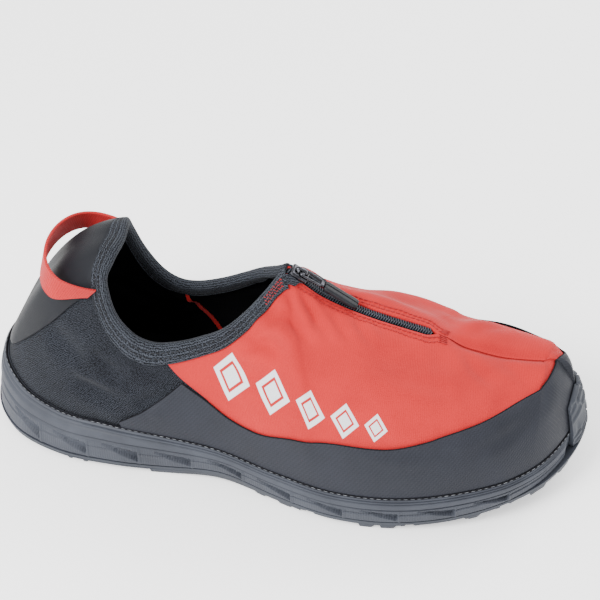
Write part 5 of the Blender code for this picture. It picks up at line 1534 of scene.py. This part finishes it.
def soft(distance, edge=0.00045):
    """1 inside a signed distance, 0 outside, easing over an edge."""
    return ease(0.5 - distance / (2 * edge))


def tread_depth(points, along, edge):
    """How far the tread's surface lies over the ground line, in metres."""
    x, y = points.T
    depth = np.full(len(points), LUG_DEPTH)

    def level(mask, value):
        depth[:] = depth + (value - depth) * mask

    def line(places):
        return tread_plan(*np.array(places).T)

    kept = ease((edge - 0.0008) / 0.0008)
    strips = soft(np.maximum(LENGTH * (0.302 - along), LENGTH * (along - 0.566)))
    level(strips * kept, 0.0)
    heel_strip = ease((along - 0.20) / 0.01) * ease((0.305 - along) / 0.01)
    beside = away(points, line(((0.16, 0.68), (0.30, 0.645))))[0]
    level(heel_strip * soft(beside - 0.012) * kept * 0.55, 0.0008)

    def lugs(table, strength, height):
        for place, middle, count in table:
            centre = tread_plan(place, middle)[0]
            for k in range(int(count)):
                at = centre + np.array([0, (k - (count - 1) / 2) * LUG_PITCH])
                shape, front = lug_shape(points, at, LUG_LENGTH, LUG_WIDTH)
                mask = soft(shape) * kept
                chamfer = ease(1 + (front + 0.0002) / 0.0016) * (y > at[1])
                level(mask * strength, height + 0.0009 * chamfer * strength)

    fade = ease((along - 0.43) / 0.08) * ease((0.566 - along) / 0.004)
    level(fade * kept, 0.0011)
    lugs(FAINT_LUGS, 1.0, 0.0)
    lugs(LUG_FIELD, 1.0, 0.0)
    for place in HEEL_LUGS:
        at = tread_plan(*place)[0]
        shape, front = lug_shape(points, at, LUG_LENGTH, LUG_WIDTH * 0.85)
        level(soft(shape) * kept, 0.0)
    for along_from, across_from, along_to, across_to in STRIPES:
        distance = away(points, line(((along_from, across_from), (along_to, across_to))))[0]
        level(soft(distance - STRIPE_HALF) * kept, 0.0)
    for places in LONG_GROOVES:
        distance = away(points, line(places))[0]
        level(soft(distance - GROOVE_HALF), GROOVE_DEPTH)
    distance = away(points, line((*PAD, PAD[0])))[0]
    corners = line(PAD)
    inside = ((points > corners.min(axis=0)) & (points < corners.max(axis=0))).all(axis=1)
    pad = np.where(inside, -distance, distance)
    level(soft(pad - PAD_HALF), 0.0)
    level(soft(np.abs(pad - 0.0012) - 0.0006), GROOVE_DEPTH)
    rail = away(points, line(RAIL))[0]
    level(soft(rail - RAIL_HALF) * kept, 0.0004)
    level(soft(rail - GROOVE_HALF), LUG_DEPTH)
    star = np.full(len(points), FAR)
    for place in STARS:
        at = tread_plan(*place)[0]
        size = (np.abs(x - at[0]) / STAR_REACH[0]) ** 0.7 + (np.abs(y - at[1]) / STAR_REACH[1]) ** 0.7
        star = np.minimum(star, (size - 1) * 0.006)
    channel = np.full(len(points), FAR)
    for places in CHANNELS:
        channel = np.minimum(channel, away(points, line(places))[0] - CHANNEL_HALF)
    first = away(points, line(CHANNELS[0]))[0]
    channel = np.minimum(channel, star)
    level(soft(channel - 0.0027) * kept * (first > 0.006), LUG_DEPTH - 0.0017)
    level(soft(np.abs(channel - 0.0014) - 0.00025) * (first > 0.006), LUG_DEPTH - 0.0006)
    level(soft(channel), LUG_DEPTH + 0.0010)
    return depth


def build_outsole():
    """The tread, on a grid that is finer at the heel's and the toe's ends."""
    steps = np.linspace(0, 1, 561)
    share = 0.55 * steps + 0.45 * (0.5 - 0.5 * np.cos(math.pi * steps))
    across = np.linspace(0, 1, 157)
    along, side = (a.ravel() for a in np.meshgrid(share, across, indexing="ij"))
    plan = tread_plan(along, side)
    rim = np.concatenate([tread_plan(share, 0.0)[::4], tread_plan(share, 1.0)[::-4]])
    edge = away(plan, rim)[0]
    depth = tread_depth(plan, along, edge)
    inward = np.clip(1 - edge / 0.002, 0, 1)[:, None] * unit(plan.mean(axis=0) - plan) * SIDE_RELIEF * 0.6
    bottom = np.column_stack([plan + inward, ground(along) + depth]).reshape(len(share), len(across), 3)
    r = OUTLINE.place(share)
    walls = []
    for t in (r, 2 - r):
        place, outward = ring(t)[:2]
        rows = []
        for up, stand in ((0.25, -0.5), (0.5, -0.25), (1.0, -0.2)):
            low = ground(share) + LUG_DEPTH
            height = low + (parting(share) - CLEAR - low) * up
            rows.append(np.column_stack([place + outward * stand * SIDE_RELIEF, height]))
        walls.append(rows)
    lateral, medial = walls
    grid = np.concatenate([np.stack(lateral[::-1], 1), bottom, np.stack(medial, 1)], axis=1)
    rows, cols = grid.shape[:2]
    faces = quads(rows, cols).tolist()
    faces += [[k * cols, (k + 1) * cols, (k + 2) * cols - 1, (k + 1) * cols - 1] for k in range(rows - 1)]
    piece("outsole", (grid.reshape(-1, 3), faces), RUBBER, replaced=("outsole",))


def build_bumper():
    """The tongue of the outsole that climbs the toe over the rand, with blocks across it."""
    fine = np.linspace(0.86, 1.14, 1601)
    middle = OUTLINE.read([1.0])[0, 1]
    ends = fine[np.abs(ring(fine)[0][:, 1] - middle) <= BUMPER_HALF_WIDTH * 0.93]
    t = np.linspace(ends.min(), ends.max(), 61)
    edge, outward, side_top = ring(t)[:3]
    offset = np.clip(np.abs(edge[:, 1] - middle) / BUMPER_HALF_WIDTH, 0, 1)
    clear = RAND_GAP + RAND_WALL + 2 * CLEAR
    top = share_at_height(t, BUMPER_HEIGHT * (0.95 - 0.10 * offset**2))
    rim = share_at_height(t, side_top + RIM_WIDTH)
    base, normals = [], []
    flat = np.column_stack([outward, np.zeros(len(t))])
    for share in np.linspace(0.0, 0.97, 22):
        base.append(side_points(t, share, 0.0008) + flat * CLEAR)
        normals.append(flat)
    for share in np.linspace(0.08, 1.0, 26):
        up = rim + (top - rim) * share
        base.append(on_skin(t, up, clear))
        normals.append(skin_normal(t, up))
    base, normals = np.stack(base, 1), np.stack(normals, 1)
    rows = base.shape[1]
    level = np.linspace(0, 1, rows)[None]
    thick = BUMPER_THICKNESS * (1.0 - 0.70 * level) * (1 - 0.35 * offset[:, None] ** 3)
    blocks = ease(np.sin(level * 2 * math.pi * BUMPER_BLOCKS) * 1.6 + 0.3) * (1 - offset[:, None] ** 4)
    turn = np.linspace(0, 1, len(t))[:, None] * math.pi * 3 + np.floor(level * BUMPER_BLOCKS) * 1.1
    gaps = ease(np.abs(np.sin(turn)) * 3 - 0.4)
    thick = thick + BUMPER_BLOCK * blocks * gaps
    border = np.minimum(np.minimum(1 - offset[:, None], (1 - level) * 1.2) / 0.06, 1)
    thick = thick * (0.45 + 0.55 * ease(border))
    outer = base + normals * thick[..., None]
    piece("toe_bumper", slab(outer, base - normals * 0.0001), RUBBER)


# Studio: half width of the floor, strength of the sky, then each lamp's place, power and size
FLOOR_REACH, FLOOR_DROP, SKY = 4.0, 0.0002, 1.75
LAMPS = (("key", (-0.7, -0.9, 1.1), 40.0, 0.7), ("rim", (0.7, 0.9, 0.9), 14.0, 0.8))


def build_stage():
    """A plain pale floor, an even white sky and two soft lamps."""
    mesh = bpy.data.meshes.new("floor")
    corners = [(x * FLOOR_REACH, y * FLOOR_REACH, 0) for x, y in ((-1, -1), (1, -1), (1, 1), (-1, 1))]
    mesh.from_pydata(corners, [], [(0, 1, 2, 3)])
    floor = bpy.data.objects.new("floor", mesh)
    floor.location.z = -FLOOR_DROP
    bpy.context.scene.collection.objects.link(floor)
    material, tree, shader = blank("floor_paper")
    place = add(tree, "ShaderNodeTexCoord").outputs["Object"]
    grain = use_group(tree, GRAIN, Vector=place, Fine=300.0, Coarse=1.5)
    colour = blended(tree, grain["Tone"], (0.93, 0.93, 0.93, 1), (0.95, 0.95, 0.95, 1))
    tree.links.new(colour, shader.inputs["Base Color"])
    shader.inputs["Roughness"].default_value = 0.9
    shader.inputs["Emission Color"].default_value = (1, 1, 1, 1)
    shader.inputs["Emission Strength"].default_value = 0.6
    mesh.materials.append(material)
    world = bpy.data.worlds.new("studio")
    world.use_nodes = True
    back = world.node_tree.nodes["Background"]
    back.inputs["Color"].default_value = (1, 1, 1, 1)
    back.inputs["Strength"].default_value = SKY
    bpy.context.scene.world = world
    for name, at, energy, size in LAMPS:
        light = bpy.data.lights.new(name, "AREA")
        light.energy = energy
        light.size = size
        lamp = bpy.data.objects.new(name, light)
        lamp.location = at
        lamp.rotation_euler = (Vector((0, 0, 0.05)) - Vector(at)).to_track_quat("-Z", "Y").to_euler()
        bpy.context.scene.collection.objects.link(lamp)


def build_camera():
    """The camera at the photograph's angle."""
    azimuth, elevation, roll = CAMERA_AZIMUTH, CAMERA_ELEVATION, CAMERA_ROLL
    right = np.array([math.cos(azimuth), math.sin(azimuth), 0.0])
    level = np.array([math.sin(azimuth), -math.cos(azimuth), 0.0])
    back = level * math.cos(elevation) + np.array([0.0, 0.0, math.sin(elevation)])
    up = np.cross(back, right)
    turn = np.array([[math.cos(roll), -math.sin(roll), 0], [math.sin(roll), math.cos(roll), 0], [0, 0, 1]])
    rows = turn @ np.stack([right, -up, -back])
    position = rows.T @ -np.array([*CAMERA_AIM, CAMERA_DISTANCE])
    data = bpy.data.cameras.new("camera")
    data.sensor_width = SENSOR
    data.lens = CAMERA_LENS / FRAME_PIXELS * SENSOR
    camera = bpy.data.objects.new("camera", data)
    matrix = np.eye(4)
    matrix[:3, :3] = np.stack([rows[0], -rows[1], -rows[2]], 1)
    matrix[:3, 3] = position
    camera.matrix_world = Matrix(matrix.tolist())
    bpy.context.scene.collection.objects.link(camera)
    bpy.context.scene.camera = camera


def paint(node, material):
    """Gives a node of the part its finish, with its mesh as it is."""
    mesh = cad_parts[node].data
    mesh.materials.clear()
    mesh.materials.append(material)


# Everything in its order
build_upper()
build_rand()
dark_rows = build_binding()
dark_rows += build_counter()
build_loop()
red_rows = build_zip()
build_garage()
build_foot_seam()
build_inner_tape()
build_slider()
build_link()
build_grip()
repeat("stitches_dark", capsule(), dark_rows, DARK_THREAD)
repeat("stitches_red", capsule(), red_rows + tack_rows(), RED_THREAD)
build_midsole()
build_outsole()
build_bumper()
paint("insole", FELT)
paint("zip_tape", TAPE)
build_stage()
build_camera()
